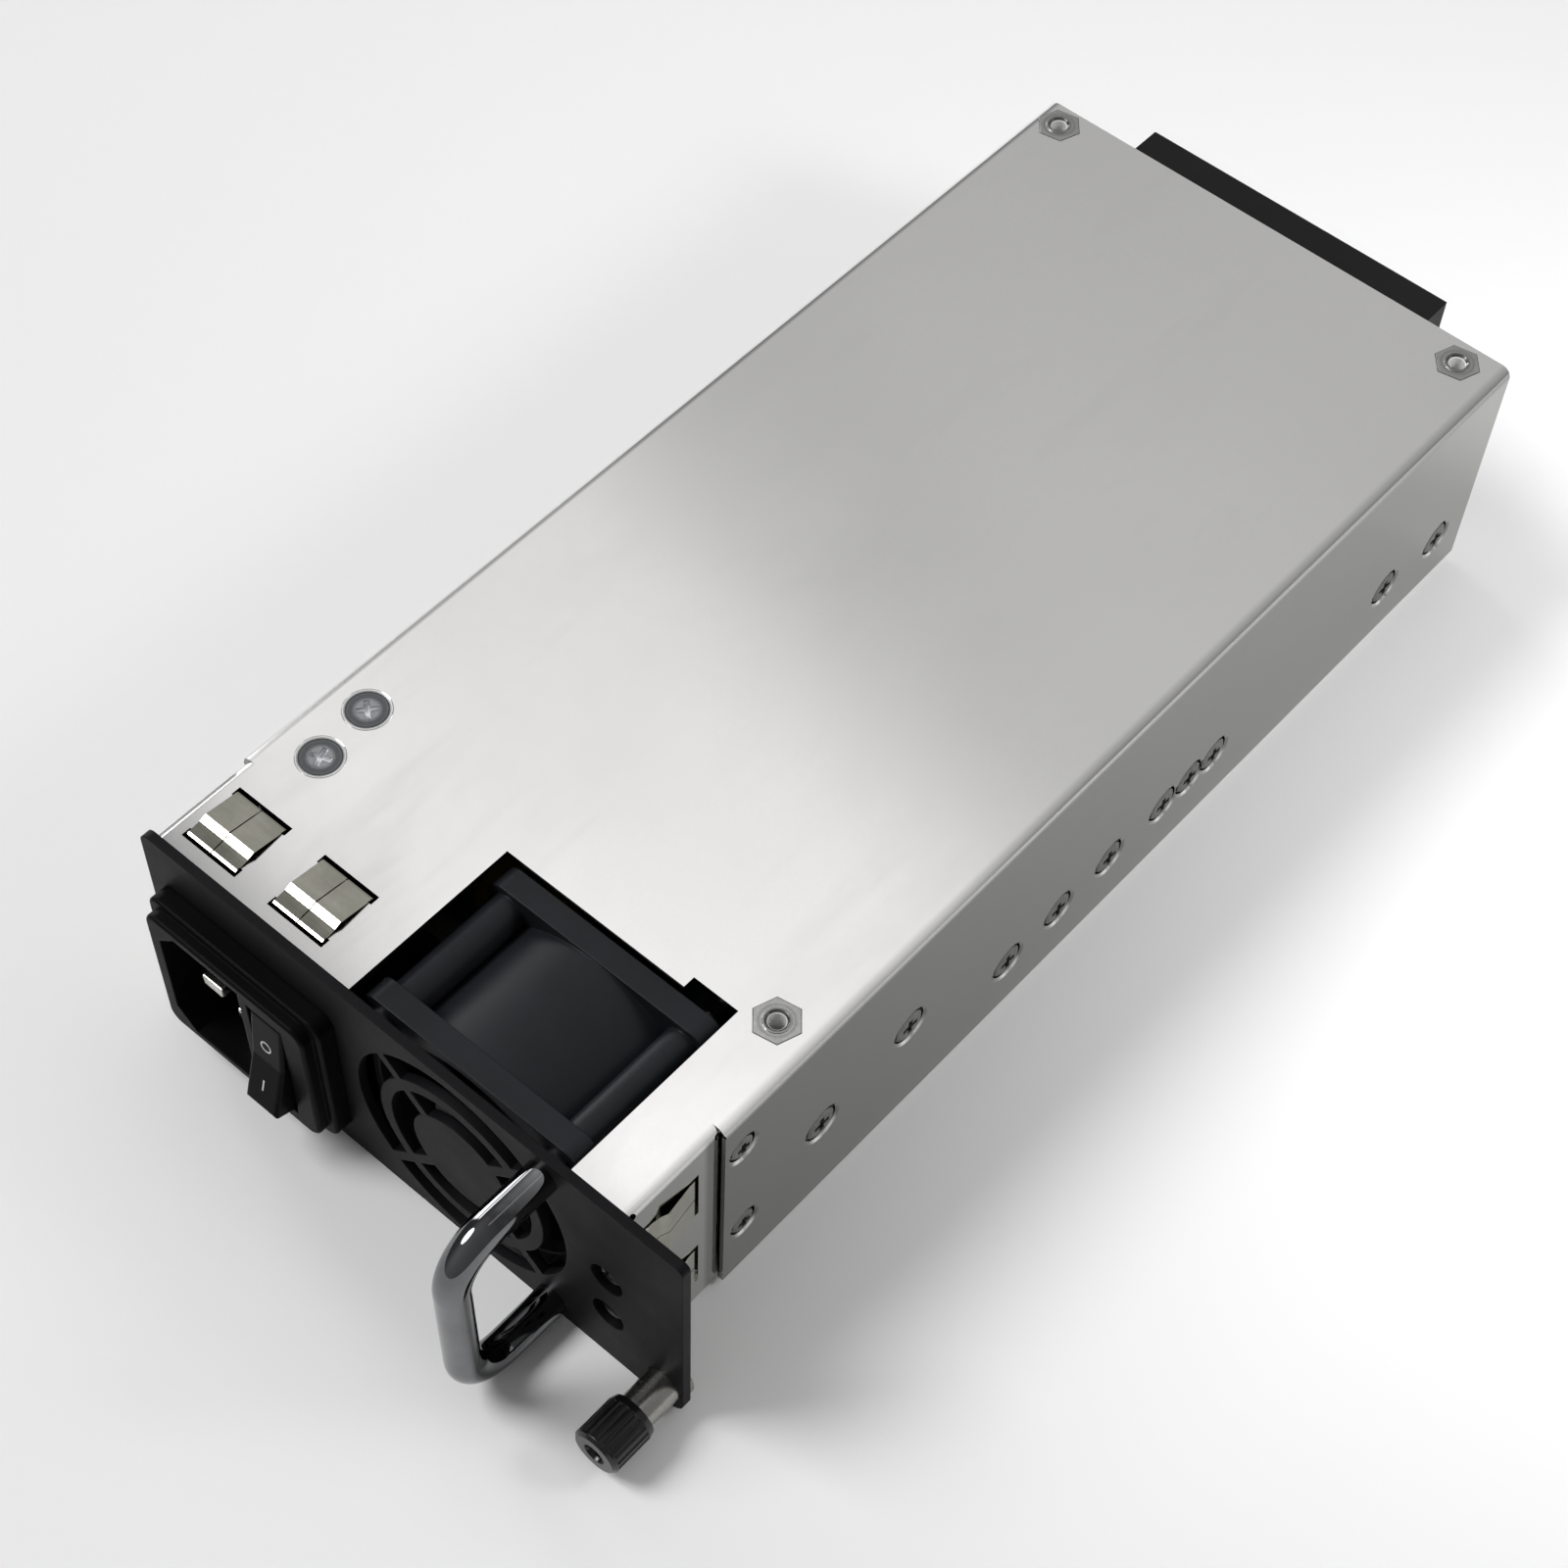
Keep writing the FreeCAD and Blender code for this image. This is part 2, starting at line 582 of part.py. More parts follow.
c0, c1, k0, k1, cc = g("cav_x0"), g("cav_x1"), g("cav_z0"), g("cav_z1"), g("cav_c")
poly(s, [(c0, k0 + cc), (c0 + cc, k0), (c1, k0), (c1, k1), (c0 + cc, k1), (c0, k1 - cc)])
pocket(ih, s, g("cav_d"), name="Cavity")
s = sketch(ih, "XZ_Plane", "switch_well", yo)
rect(s, g("rock_x") - 0.35, g("rock_x") + g("rock_w") + 0.35, g("rock_z") - 10.9, g("rock_z") + 10.9)
pocket(ih, s, 12, name="SwitchWell")
doc.recompute()
blades = []
PINS = [("earth", -33.55, 19.3, -103.4), ("line", -29.55, 26.3, -101.5), ("neutral", -29.55, 12.3, -101.5)]
slots = []
for n_, x, z, y in PINS:
    slots.append(box("slot_" + n_, x - 2.0, x + 2.0, -95, -75, z - 1.0, z + 1.0))
slots.append(cyl("trunnion_hole", 1.3, P["rock_w"] + 1.9, g("rock_x") - 0.95, g("rock_y"), g("rock_z"), "X"))
node("inlet_housing", cut("inlet_housing", ih, slots))
for n_, x, z, y in PINS:
    b_ = box("blade_" + n_, x - 2.0, x + 2.0, y, -77.0, z - 1.0, z + 1.0)
    blades.append(fillet("blade_%s_r" % n_, b_, 0.45, lambda e: abs(mid(e).y - y) < 0.01))
node("inlet_pins", fuse("inlet_pins", blades))

# The rocker is drawn about its pivot at mid travel, then tilted so that its O end is in.
rk = body("rocker")
s = sketch(rk, "YZ_Plane", "rocker_side", 0)
poly(s, [(-4.9, 9.5), (-4.1, 0.0), (-4.9, -9.5), (0.4, -10.4), (3.5, -8.6), (6.0, -3.0), (6.0, 3.0), (3.5, 8.6), (0.4, 10.4)])
pad(rk, s, g("rock_w"))
pd_fillet(rk, 0.6, lambda e: mid(e).y < -3.9 and (abs(mid(e).x) < 0.01 or abs(mid(e).x - P["rock_w"]) < 0.01 or abs(mid(e).z) > 9))
s = sketch(rk, "YZ_Plane", "trunnions", -0.8)
circ(s, 0, 0, 1.22)
pad(rk, s, g("rock_w") + 1.6, name="Trunnions")
place(rk, g("rock_x"), g("rock_y"), g("rock_z"), Rotation(V(1, 0, 0), -P["rock_tilt"]))
node("rocker", rk)

# ---------------------------------------------------------------- fan
FY0 = -L2 + g("fan_gap")          # fan's front face
FW2 = g("fan_w") / 2
fr, fl = P["fan_w"] / 2, -l2 + P["fan_gap"]
flange_f = fillet("fan_front_r", box("fan_front", CX - FW2, CX + FW2, FY0, FY0 + 3.9, CZ - FW2, CZ + FW2), 3.0, lambda e: is_line(e, YV))
flange_b = fillet("fan_back_r", box("fan_back", CX - FW2, CX + FW2, FY0 + g("fan_d") - 3.9, FY0 + g("fan_d"), CZ - FW2, CZ + FW2), 3.0, lambda e: is_line(e, YV))
duct = cyl("fan_duct", g("fan_bore") + 0.9, g("fan_d") - 1, CX, FY0 + 0.5, CZ, "Y")
posts, holes = [], []
for i, (sx, sz) in enumerate(((-1, -1), (-1, 1), (1, -1), (1, 1))):
    posts.append(cyl("fan_post_%d" % i, 2.9, g("fan_d") - 1, CX + 16.0 * sx, FY0 + 0.5, CZ + 16.0 * sz, "Y"))
    holes.append(cyl("fan_hole_%d" % i, 1.65, g("fan_d") + 2, CX + 16.0 * sx, FY0 - 1, CZ + 16.0 * sz, "Y"))
node("fan_frame", cut("fan_frame", fuse("fan_frame_blank", [flange_f, flange_b, duct] + posts), [cyl("fan_bore_cut", g("fan_bore"), g("fan_d") + 2, CX, FY0 - 1, CZ, "Y")] + holes))
hub = [cyl("fan_hub", 9.4, 2.6, CX, FY0 + g("fan_d") - 2.6, CZ, "Y"), cyl("fan_bearing_tube", 3.0, 22, CX, FY0 + g("fan_d") - 24, CZ, "Y")]
for i, a in enumerate((45, 135, 225, 315)):
    st = doc.addObject("Part::Box", "fan_strut_%d" % i)
    st.Length, st.Width, st.Height = 12.5, 2.6, 2.0
    r_ = Rotation(V(0, 1, 0), a)
    off = r_.multVec(V(7.5, 0, -1.0))
    place(st, CX + off.x, FY0 + g("fan_d") - 2.6, CZ + off.z, r_)
    hub.append(st)
spider = common("fan_spider_trim", fuse("fan_spider_blank", hub), cyl("fan_spider_room", g("fan_bore") - 0.03, 30, CX, FY0 + g("fan_d") - 27, CZ, "Y"))
node("fan_spider", cut("fan_spider", spider, [cyl("fan_shaft_bore", 1.55, 26, CX, FY0 + g("fan_d") - 25, CZ, "Y")]))
node("fan_stator", cut("fan_stator", cyl("stator_core", 7.7, 11, CX, FY0 + 8, CZ, "Y"), [cyl("stator_bore", 3.06, 13, CX, FY0 + 7, CZ, "Y")]))

rt = body("fan_rotor")
s = sketch(rt, "XY_Plane", "cup_half", 0)
poly(s, [(0.0, 0.0), (8.6, 0.0), (9.5, 1.0), (9.5, 19.0), (8.4, 19.0), (8.4, 1.6), (1.5, 1.6), (1.5, 25.2), (0.0, 25.2)])
revolve(rt, s)
s1 = sketch(rt, "YZ_Plane", "blade_root", 8.9)
poly(s1, [(2.0, -3.5), (2.9, -3.9), (14.8, 3.0), (13.9, 3.4)])
s2 = sketch(rt, "YZ_Plane", "blade_tip", 17.4)
poly(s2, [(1.4, -5.0), (2.1, -5.5), (15.6, 4.5), (14.9, 5.0)])
lf = rt.newObject("PartDesign::AdditiveLoft", "Blade")
lf.Profile = s1
lf.Sections = [s2]
lf.Ruled = True
doc.recompute()
pp = rt.newObject("PartDesign::PolarPattern", "Blades")
pp.Originals = [lf]
pp.Axis = ([f for f in rt.Origin.OriginFeatures if f.Role == "Y_Axis"][0], [""])
pp.Angle = 360.0
pp.Occurrences = 7
rt.Tip = pp
place(rt, CX, FY0 + 0.6, CZ)
node("fan_rotor", rt)

# Sheet bracket that holds the fan against the plate.
node("fan_bracket", cut("fan_bracket", box("bracket_sheet", CX - FW2 - 0.9, CX + FW2 + 1.2, FY0 + g("fan_d") + 0.05, FY0 + g("fan_d") + 0.95, T, 33.0),
     [cyl("bracket_hole", 19.2, 4, CX, FY0 + g("fan_d") - 1, CZ, "Y"), box("bracket_notch", 26.5, 36, -73, -67, 29.0, 43)]
     + [cyl("bracket_pin_%d" % i, 1.9, 4, CX + 16.0 * sx, FY0 + g("fan_d") - 1, CZ - 16.0, "Y") for i, sx in enumerate((-1, 1))]))

# Four long screws run through the fan's corner posts and end just behind it.
fps = []
for i, (sx, sz) in enumerate(((-1, -1), (-1, 1), (1, -1), (1, 1))):
    px, pz = CX + 16.0 * sx, CZ + 16.0 * sz
    fps.append(fuse("fan_pin_%d" % i, [cyl("fan_pin_head_%d" % i, 2.7, 1.4, px, FY0 - 1.4, pz, "Y"), cyl("fan_pin_shank_%d" % i, 1.5, g("fan_d") + 1.9, px, FY0 - 0.4, pz, "Y"),
                                       cone("fan_pin_tip_%d" % i, 1.5, 1.05, 0.5, px, FY0 + g("fan_d") + 1.5, pz, "Y")]))
node("fan_pins", fuse("fan_pins", fps))

# ---------------------------------------------------------------- handle
hb = body("handle_bar")
py = -(l2 + P["plate_t"])
po = py - P["handle_out"]
hb_r = P["handle_bend"]
hz0, hz1 = P["handle_z0"], P["handle_z1"]
s = sketch(hb, "YZ_Plane", "handle_path", g("handle_x"))
C = Sketcher.Constraint
k = math.pi / 2
l_a = s.addGeometry(Part.LineSegment(V(py, hz1, 0), V(po + hb_r, hz1, 0)), False)
a_a = s.addGeometry(Part.ArcOfCircle(Part.Circle(V(po + hb_r, hz1 - hb_r, 0), ZV, hb_r), k, 2 * k), False)
l_b = s.addGeometry(Part.LineSegment(V(po, hz1 - hb_r, 0), V(po, hz0 + hb_r, 0)), False)
a_b = s.addGeometry(Part.ArcOfCircle(Part.Circle(V(po + hb_r, hz0 + hb_r, 0), ZV, hb_r), 2 * k, 3 * k), False)
l_c = s.addGeometry(Part.LineSegment(V(po + hb_r, hz0, 0), V(py, hz0, 0)), False)
s.addConstraint([C("Tangent", l_a, 2, a_a, 1), C("Tangent", a_a, 2, l_b, 1), C("Tangent", l_b, 2, a_b, 1), C("Tangent", a_b, 2, l_c, 1),
                 C("Horizontal", l_a), C("Vertical", l_b), C("Horizontal", l_c), C("Equal", a_a, a_b)])
kk = s.addConstraint(C("Radius", a_a, hb_r))
s.setExpression("Constraints[%d]" % kk, "Params.handle_bend")
pin_point(s, l_a, 1, -(L2 + g("plate_t")), g("handle_z1"))
pin_point(s, l_c, 2, -(L2 + g("plate_t")), g("handle_z0"))
kk = s.addConstraint(C("DistanceX", -1, 1, l_b, 1, po))
s.setExpression("Constraints[%d]" % kk, (-(L2 + g("plate_t") + g("handle_out"))).t)
path = s
s = sketch(hb, "XZ_Plane", "handle_section", fy)
circ(s, g("handle_x"), g("handle_z1"), g("handle_r"))
pipe = hb.newObject("PartDesign::AdditivePipe", "Bar")
pipe.Profile = s
pipe.Spine = (path, ["Edge1", "Edge2", "Edge3", "Edge4", "Edge5"])
doc.recompute()
taps = [cyl("handle_tap_%d" % i, 1.3, 9, g("handle_x"), -L2 - g("plate_t") + 1, z, "-Y") for i, z in enumerate((g("handle_z0"), g("handle_z1")))]
node("handle", cut("handle", hb, taps))
hs = []
for i, z in enumerate((g("handle_z0"), g("handle_z1"))):
    hs.append(fuse("handle_screw_%d" % i, [cone("hs_head_%d" % i, 2.8, 1.5, 1.3, g("handle_x"), -L2, z, "-Y"), cyl("hs_shank_%d" % i, 1.25, 8.5, g("handle_x"), -L2 - 0.5, z, "-Y")]))
sl = [box("hs_slot_%d" % i, g("handle_x") - 1.6, g("handle_x") + 1.6, -L2 - 0.6, -L2 + 0.2, z - 0.35, z + 0.35) for i, z in enumerate((g("handle_z0"), g("handle_z1")))]
node("handle_screws", cut("handle_screws", fuse("handle_screw_pair", hs), sl))

# ---------------------------------------------------------------- captive thumbscrew
TX, TZ = g("thumb_x"), g("thumb_z")


def turned(name, pts, chamfers=None):
    """A turned piece about the thumbscrew axis; pts are radius and y."""
    b = body(name)
    s = sketch(b, "XY_Plane", name + "_half", 0)
    poly(s, pts)
    revolve(b, s)
    return place(b, TX, 0, TZ)


SR = g("sleeve_r")
node("thumbscrew_sleeve", turned("sleeve_turned", [(1.4, -103.4), (2.25, -103.4), (2.25, -107.8), (SR - 0.25, -107.8), (SR, -107.5), (SR, -99.5), (SR + 0.6, -99.5), (SR + 0.6, -98.8), (SR + 0.3, -98.5),
                                                    (1.65, -98.5), (1.65, -102.4), (1.4, -102.4)]))
KR, KY = g("knob_r"), g("knob_y0")
kb = turned("knob_turned", [(0.0, KY + 0.9), (1.5, KY + 0.9), (1.8, KY), (KR - 0.5, KY), (KR, KY + 0.5), (KR, KY + g("knob_l") - 1.0), (KR - 0.3, KY + g("knob_l")), (3.05, KY + g("knob_l")), (3.05, -112.7), (0.0, -112.7)])
doc.recompute()
ribs = []
for i in range(20):
    a = 2 * math.pi * i / 20
    ribs.append(cyl("knob_flute_%d" % i, 0.34, 6.0, TX + (P["knob_r"] + 0.12) * math.cos(a), KY + 0.8, TZ + (P["knob_r"] + 0.12) * math.sin(a), "Y"))
ribs += [box("knob_cross_a", TX - 1.6, TX + 1.6, KY - 0.2, KY + 1.5, TZ - 0.35, TZ + 0.35), box("knob_cross_b", TX - 0.35, TX + 0.35, KY - 0.2, KY + 1.5, TZ - 1.6, TZ + 1.6), cyl("knob_bore", 1.33, 3, TX, -113.4, TZ, "Y")]
node("thumbscrew_knob", cut("thumbscrew_knob", kb, ribs))
node("thumbscrew_screw", turned("screw_turned", [(0.0, -113.4), (1.33, -113.4), (1.33, -103.9), (1.2, -103.7), (1.2, -102.0), (1.5, -101.7), (1.5, -99.3), (1.1, -98.7), (0.0, -98.7)]))
node("thumbscrew_washer", turned("washer_turned", [(1.5, -112.6), (2.8, -112.6), (2.8, -112.2), (1.5, -112.2)]))
# The spring is one wire swept along a helix between the sleeve and the knob's washer.
hx = doc.addObject("Part::Helix", "spring_line")
hx.Pitch, hx.Height, hx.Radius = 1.25, 8.0, 1.83
place(hx, TX, -111.9, TZ, AX["Y"])
sc = doc.addObject("Part::Circle", "spring_wire")
sc.Radius = 0.24
place(sc, TX + 1.83, -111.9, TZ, AX["Z"])
sw = doc.addObject("Part::Sweep", "spring_coil")
sw.Sections = [sc]
sw.Spine = (hx, ["Edge1"])
sw.Solid = True
sw.Frenet = True
node("thumbscrew_spring", sw)

# ---------------------------------------------------------------- indicators
lens = []
for i, z in enumerate((23.0, 12.8)):
    c_ = common("lens_dome_%d" % i, cyl("lens_disc_%d" % i, g("led_r") - 0.05, 1.4, g("led_x"), -L2 - 1.4, z, "Y"), sphere("lens_ball_%d" % i, 5.0, g("led_x"), -L2 + 3.9, z))
    lens.append(fuse("lens_%d" % i, [c_, cyl("lens_stem_%d" % i, 1.7, 3.4, g("led_x"), -L2 - 0.1, z, "Y")]))
node("led_lenses", fuse("led_lenses", lens))
node("indicator_board", box("indicator_board", 37.0, 42.6, -96.1, -94.9, 8.0, 28.0))

# ---------------------------------------------------------------- contact springs
def strip_outline(pts, t):
    """The outline of a strip t thick whose outer side runs through pts."""
    inner = []
    n = len(pts)
    for i, (y, z) in enumerate(pts):
        d0 = V(y - pts[i - 1][0], z - pts[i - 1][1], 0).normalize() if i > 0 else None
        d1 = V(pts[i + 1][0] - y, pts[i + 1][1] - z, 0).normalize() if i < n - 1 else None
        d0, d1 = d0 or d1, d1 or d0
        n0, n1 = V(d0.y, -d0.x, 0), V(d1.y, -d1.x, 0)
        m = (n0 + n1).normalize()
        k_ = t / max(0.5, m.dot(n0))
        inner.append((round(y + m.x * k_, 4), round(z + m.y * k_, 4)))
    return list(pts) + inner[::-1]


# Outer side of a clip seen from the side: y from the front slot, z out of the sheet.
CLIP = [(0.52, -1.1), (0.5, 0.06), (0.9, 0.25), (2.9, 0.53), (4.1, 1.0), (9.72, 0.24), (10.03, 0.09), (10.07, -1.3), (8.2, -1.3)]


def fingers(name, width, rot, at):
    """One spring strip, a padded side profile."""
    b = body(name)
    s = sketch(b, "YZ_Plane", name + "_side", 0)
    poly(s, strip_outline(CLIP, 0.18))
    pad(b, s, width)
    return place(b, at[0], at[1], at[2], rot)


FW = 4.7
tops = []
for i, x in enumerate(TOP_X):
    x += 0.45
    a_ = fingers("top_strip_%da" % i, FW, Rotation(), (x, SLOT_Y[0] + 0.12, 43.0))
    b_ = fingers("top_strip_%db" % i, FW, Rotation(), (x + FW + 0.2, SLOT_Y[0] + 0.12, 43.0))
    tie = box("top_tie_%d" % i, x, x + 2 * FW + 0.2, SLOT_Y[0] + 8.4, SLOT_Y[0] + 9.6, 41.70, 41.88)
    tops.append(fuse("top_clip_%d" % i, [a_, b_, tie]))
node("spring_fingers_top", fuse("spring_fingers_top", tops))
for side, sx in (("right", 1), ("left", -1)):
    clips = []
    for j, z in enumerate(SIDE_Z):
        rot = Rotation(V(0, 1, 0), 90 * sx)
        # the strip's own z turns to point out of the side, its x runs down or up
        z0, z1 = z + 0.45, z + 0.45 + 2 * FW + 0.2
        zz = z1 if sx > 0 else z0
        a_ = fingers("%s_strip_%da" % (side, j), FW, rot, (sx * (w2 - 1.0), SLOT_Y[0] + 0.12, zz))
        b_ = fingers("%s_strip_%db" % (side, j), FW, rot, (sx * (w2 - 1.0), SLOT_Y[0] + 0.12, zz - (FW + 0.2) * sx))
        x_in, x_out = sx * (w2 - 1.0 - 1.30), sx * (w2 - 1.0 - 1.12)
        tie = box("%s_tie_%d" % (side, j), min(x_in, x_out), max(x_in, x_out), SLOT_Y[0] + 8.4, SLOT_Y[0] + 9.6, z0, z1)
        clips.append(fuse("%s_clip_%d" % (side, j), [a_, b_, tie]))
    node("spring_fingers_" + side, fuse("spring_fingers_" + side, clips))

# ---------------------------------------------------------------- fasteners in the casing
nb = []
for i, (x, y) in enumerate(NUTS):
    hexa = doc.addObject("Part::Prism", "nut_hex_%d" % i)
    hexa.Polygon = 6
    put(hexa, "Circumradius", g("nut_flat") / 1.7320508)
    put(hexa, "Height", 1.15)
    place(hexa, x, y, 41.93, Rotation(V(0, 0, 1), 11))
    nb.append(cut("nut_%d" % i, fuse("nut_blank_%d" % i, [hexa, cyl("nut_barrel_%d" % i, 2.4, 4.2, x, y, 37.9), common("nut_seat_%d" % i, cyl("nut_collar_%d" % i, 4.1, 0.55, x, y, 41.43), box("nut_seat_room_%d" % i, -43.3, 43.3, y - 5, min(y + 5, 98.3), 41, 42.5)),
        cyl("nut_rim_%d" % i, 2.05, 0.2, x, y, 43.0)]), [cyl("nut_thread_%d" % i, 1.25, 7, x, y, 37), cone("nut_mouth_%d" % i, 1.25, 1.7, 0.45, x, y, 42.76)]))
node("cover_nuts", fuse("cover_nuts", nb))
ts = []
for i, (x, y) in enumerate(TOPS):
    b_ = fuse("top_screw_blank_%d" % i, [cone("top_screw_head_%d" % i, 1.7, 3.6, 1.0, x, y, 41.97), cyl("top_screw_shank_%d" % i, 1.6, 5, x, y, 37.2)])
    rot = Rotation(V(0, 0, 1), 20 + 31 * i)
    arms = []
    for j, (lx, ly) in enumerate(((3.2, 0.75), (0.75, 3.2))):
        a_ = doc.addObject("Part::Box", "cross_%d%d" % (i, j))
        a_.Length, a_.Width, a_.Height = lx, ly, 1.2
        off = rot.multVec(V(-lx / 2, -ly / 2, 0))
        place(a_, x + off.x, y + off.y, 42.1, rot)
        arms.append(a_)
    ts.append(cut("top_screw_%d" % i, b_, arms))
node("cover_screws", fuse("cover_screws", ts))
ss = []
for i, (y, z) in enumerate(SIDE + FRONT):
    r = 2.7 if i < len(SIDE) else 2.05
    for sd, ax in ((1, "X"), (-1, "-X")):
        tag = "%s%d" % ("r" if sd > 0 else "l", i)
        parts = [cyl("side_head_" + tag, r, 0.72, sd * (w2 - 1.0), y, z, ax), cone("side_dome_" + tag, r, r - 0.4, 0.25, sd * (w2 - 0.28), y, z, ax), cyl("side_shank_" + tag, 1.45, 3.0, sd * (w2 - 3.6), y, z, ax)]
        x0, x1 = (w2 - 0.85, w2) if sd > 0 else (-w2, -w2 + 0.85)
        arm = r * 0.56
        ss.append(cut("side_screw_" + tag, fuse("side_screw_blank_" + tag, parts), [box("side_ca_" + tag, x0, x1, y - arm, y + arm, z - 0.45, z + 0.45), box("side_cb_" + tag, x0, x1, y - 0.45, y + 0.45, z - arm, z + arm)]))
node("side_screws", fuse("side_screws", ss))

# ---------------------------------------------------------------- main board and what it carries
BZ = g("board_z")
BT = BZ + g("board_t")
bt = P["board_z"] + P["board_t"]
node("insulator_sheet", cut("insulator_sheet", box("insulator_blank", -41.8, 41.8, -68.5, 92, 1.05, 1.35), [cyl("ins_hole_%d" % i, 3.3, 2, x, y, 0.5) for i, (x, y) in enumerate(POSTS)]))
sp, sc_, bh = [], [], []
for i, (x, y) in enumerate(POSTS):
    sp.append(cut("spacer_%d" % i, fuse("spacer_blank_%d" % i, [cyl("spacer_body_%d" % i, 2.6, BZ - 1.0, x, y, 1.0), cyl("spacer_stake_%d" % i, 1.9, 1.1, x, y, 0.0)]), [cyl("spacer_thread_%d" % i, 1.5, 3.6, x, y, 1.6)]))
    sc_.append(fuse("board_screw_%d" % i, [cyl("bs_head_%d" % i, 2.7, 1.8, x, y, bt), cyl("bs_shank_%d" % i, 1.4, 4.4, x, y, bt - 4.3)]))
    bh.append(cyl("board_hole_%d" % i, 1.65, 4, x, y, 4))
node("board_spacers", fuse("board_spacers", sp))
node("board_screws", fuse("board_screws", sc_))
node("main_board", cut("main_board", box("main_board_blank", -41.3, 41.3, -66, 89, BZ, BT), bh))

node("fuse_link", fuse("fuse_link", [cyl("fuse_glass", 2.4, 20, -2, -61, bt + 3.2, "X"), cyl("fuse_cap_a", 2.7, 4.5, -2, -61, bt + 3.2, "X"), cyl("fuse_cap_b", 2.7, 4.5, 13.5, -61, bt + 3.2, "X"),
                                    box("fuse_clip_a", -1.2, 1.8, -63, -59, bt, bt + 2.0), box("fuse_clip_b", 14.2, 17.2, -63, -59, bt, bt + 2.0)]))
node("line_choke", fuse("line_choke", [torus("choke_ring", 7.6, 3.9, -31, -50, bt + 12.4, "X"), box("choke_base", -34.4, -27.6, -58, -42, bt, bt + 2.6)]))
node("film_capacitors", fuse("film_capacitors", [fillet("film_r_%d" % i, box("film_%d" % i, x, x + 6.5, -64, -46, bt, bt + 12.5), 0.8, lambda e: mid(e).z > bt + 0.1) for i, x in enumerate((-21.5, -13.0))]))
node("bridge_rectifier", fuse("bridge_rectifier", [box("bridge_case", 22, 26, -64, -44, bt + 4, bt + 20)] + [box("bridge_leg_%d" % i, 23.6, 24.4, -62.4 + 5 * i, -61.4 + 5 * i, bt, bt + 4.2) for i in range(4)]))
caps = []
for i, x in enumerate((-29.5, -6.5)):
    c_ = cyl("bulk_can_%d" % i, 10.9, 40, x, -36, bt + 11.0, "Y")
    caps.append(fillet("bulk_can_r_%d" % i, c_, 1.2, lambda e: hasattr(e.Curve, "Radius")))
node("bulk_capacitors", fuse("bulk_capacitors", caps))
node("boost_choke", torus("boost_choke", 6.6, 3.9, 30.5, -22, bt + 3.95))


def sink(name, x0, x1, y0, y1, fins):
    parts = [box(name + "_web", x0, x0 + 3, y0, y1, bt, 38)]
    for i in range(fins):
        z = bt + 3 + i * (38 - bt - 4.5) / (fins - 1)
        parts.append(box(name + "_fin_%d" % i, x0 + 2.5, x1, y0, y1, z, z + 1.3))
    return node(name, fuse(name, parts))


sink("heatsink_primary", 8.0, 18.5, -36, 30, 6)
sink("heatsink_secondary", 3.0, 14.0, 38, 80, 6)


def transistors(name, x1, ys):
    parts = []
    for i, y in enumerate(ys):
        parts.append(box("%s_case_%d" % (name, i), x1 - 4.2, x1, y, y + 10, 15, 30))
        for k_ in range(3):
            parts.append(box("%s_leg_%d%d" % (name, i, k_), x1 - 3.0, x1 - 2.2, y + 2.1 + 2.5 * k_, y + 2.9 + 2.5 * k_, bt, 15.5))
    return node(name, fuse(name, parts))


transistors("power_transistors", 8.0, (7.0, 18.5))
transistors("output_rectifiers", 3.0, (41.0, 53.0, 65.0))
core = cut("transformer_core", box("tc_block", -38, -6, 20, 36, bt, 34.6), [box("tc_win_a", -33, -26, 19, 37, 12, 30), box("tc_win_b", -18, -11, 19, 37, 12, 30)])
node("transformer_core", core)
wind = cut("transformer_winding", fillet("tw_r", box("tw_block", -32.7, -11.3, 14, 42, 12.3, 29.7), 3.0, lambda e: is_line(e, ZV)), [box("tw_leg", -26.0, -18.0, 20.0, 36.0, 11, 31)])
node("transformer_winding", wind)
node("output_choke", torus("output_choke", 7.2, 4.1, -24, 64, bt + 4.1))
node("output_capacitors", fuse("output_capacitors", [cyl("out_cap_%d" % i, 4.0, 20, x, y, bt) for i, (x, y) in enumerate(((20, 40), (29.5, 66), (20, 70), (29.5, 78), (20, 82), (38.5 - 1.6, 72)))]))
chips = [box("cb_board", 35.0, 36.6, -6, 48, bt, 38), box("cb_chip_a", 33.6, 35.1, 4, 16, 16, 28), box("cb_chip_b", 33.6, 35.1, 24, 32, 18, 26), box("cb_chip_c", 33.8, 35.1, 36, 42, 12, 20)]
node("control_board", fuse("control_board", chips))
node("fan_header", box("fan_header", 30.5, 38.0, -63.6, -59.2, bt, bt + 6.5))

# ---------------------------------------------------------------- rear connector
CW2 = g("conn_w") / 2
node("output_board", box("output_board", -40.5, 40.5, 89.3, 90.9, bt + 0.4, 41.0))
blk = fillet("conn_block_r", box("conn_block", -CW2, CW2, 90.9, L2 + g("conn_out"), g("conn_z0"), g("conn_z1")), 0.5, lambda e: abs(mid(e).y - (l2 + P["conn_out"])) < 0.01)
cav = [box("conn_cav_a", -26.5, 3.5, 97.0, 108, 20.0, 39.0), box("conn_cav_b", 6.5, 26.5, 97.0, 108, 20.0, 39.0)]
bl, hl = [], []
for i in range(6):
    x = -23.5 + i * 4.8
    bl.append(box("power_blade_%d" % i, x - 0.5, x + 0.5, 90.9, 101.4, 23.0, 36.0))
for i in range(5):
    for j in range(4):
        bl.append(cyl("signal_pin_%d%d" % (i, j), 0.4, 10.0, 9.5 + i * 3.5, 90.9, 24.0 + j * 3.7, "Y"))
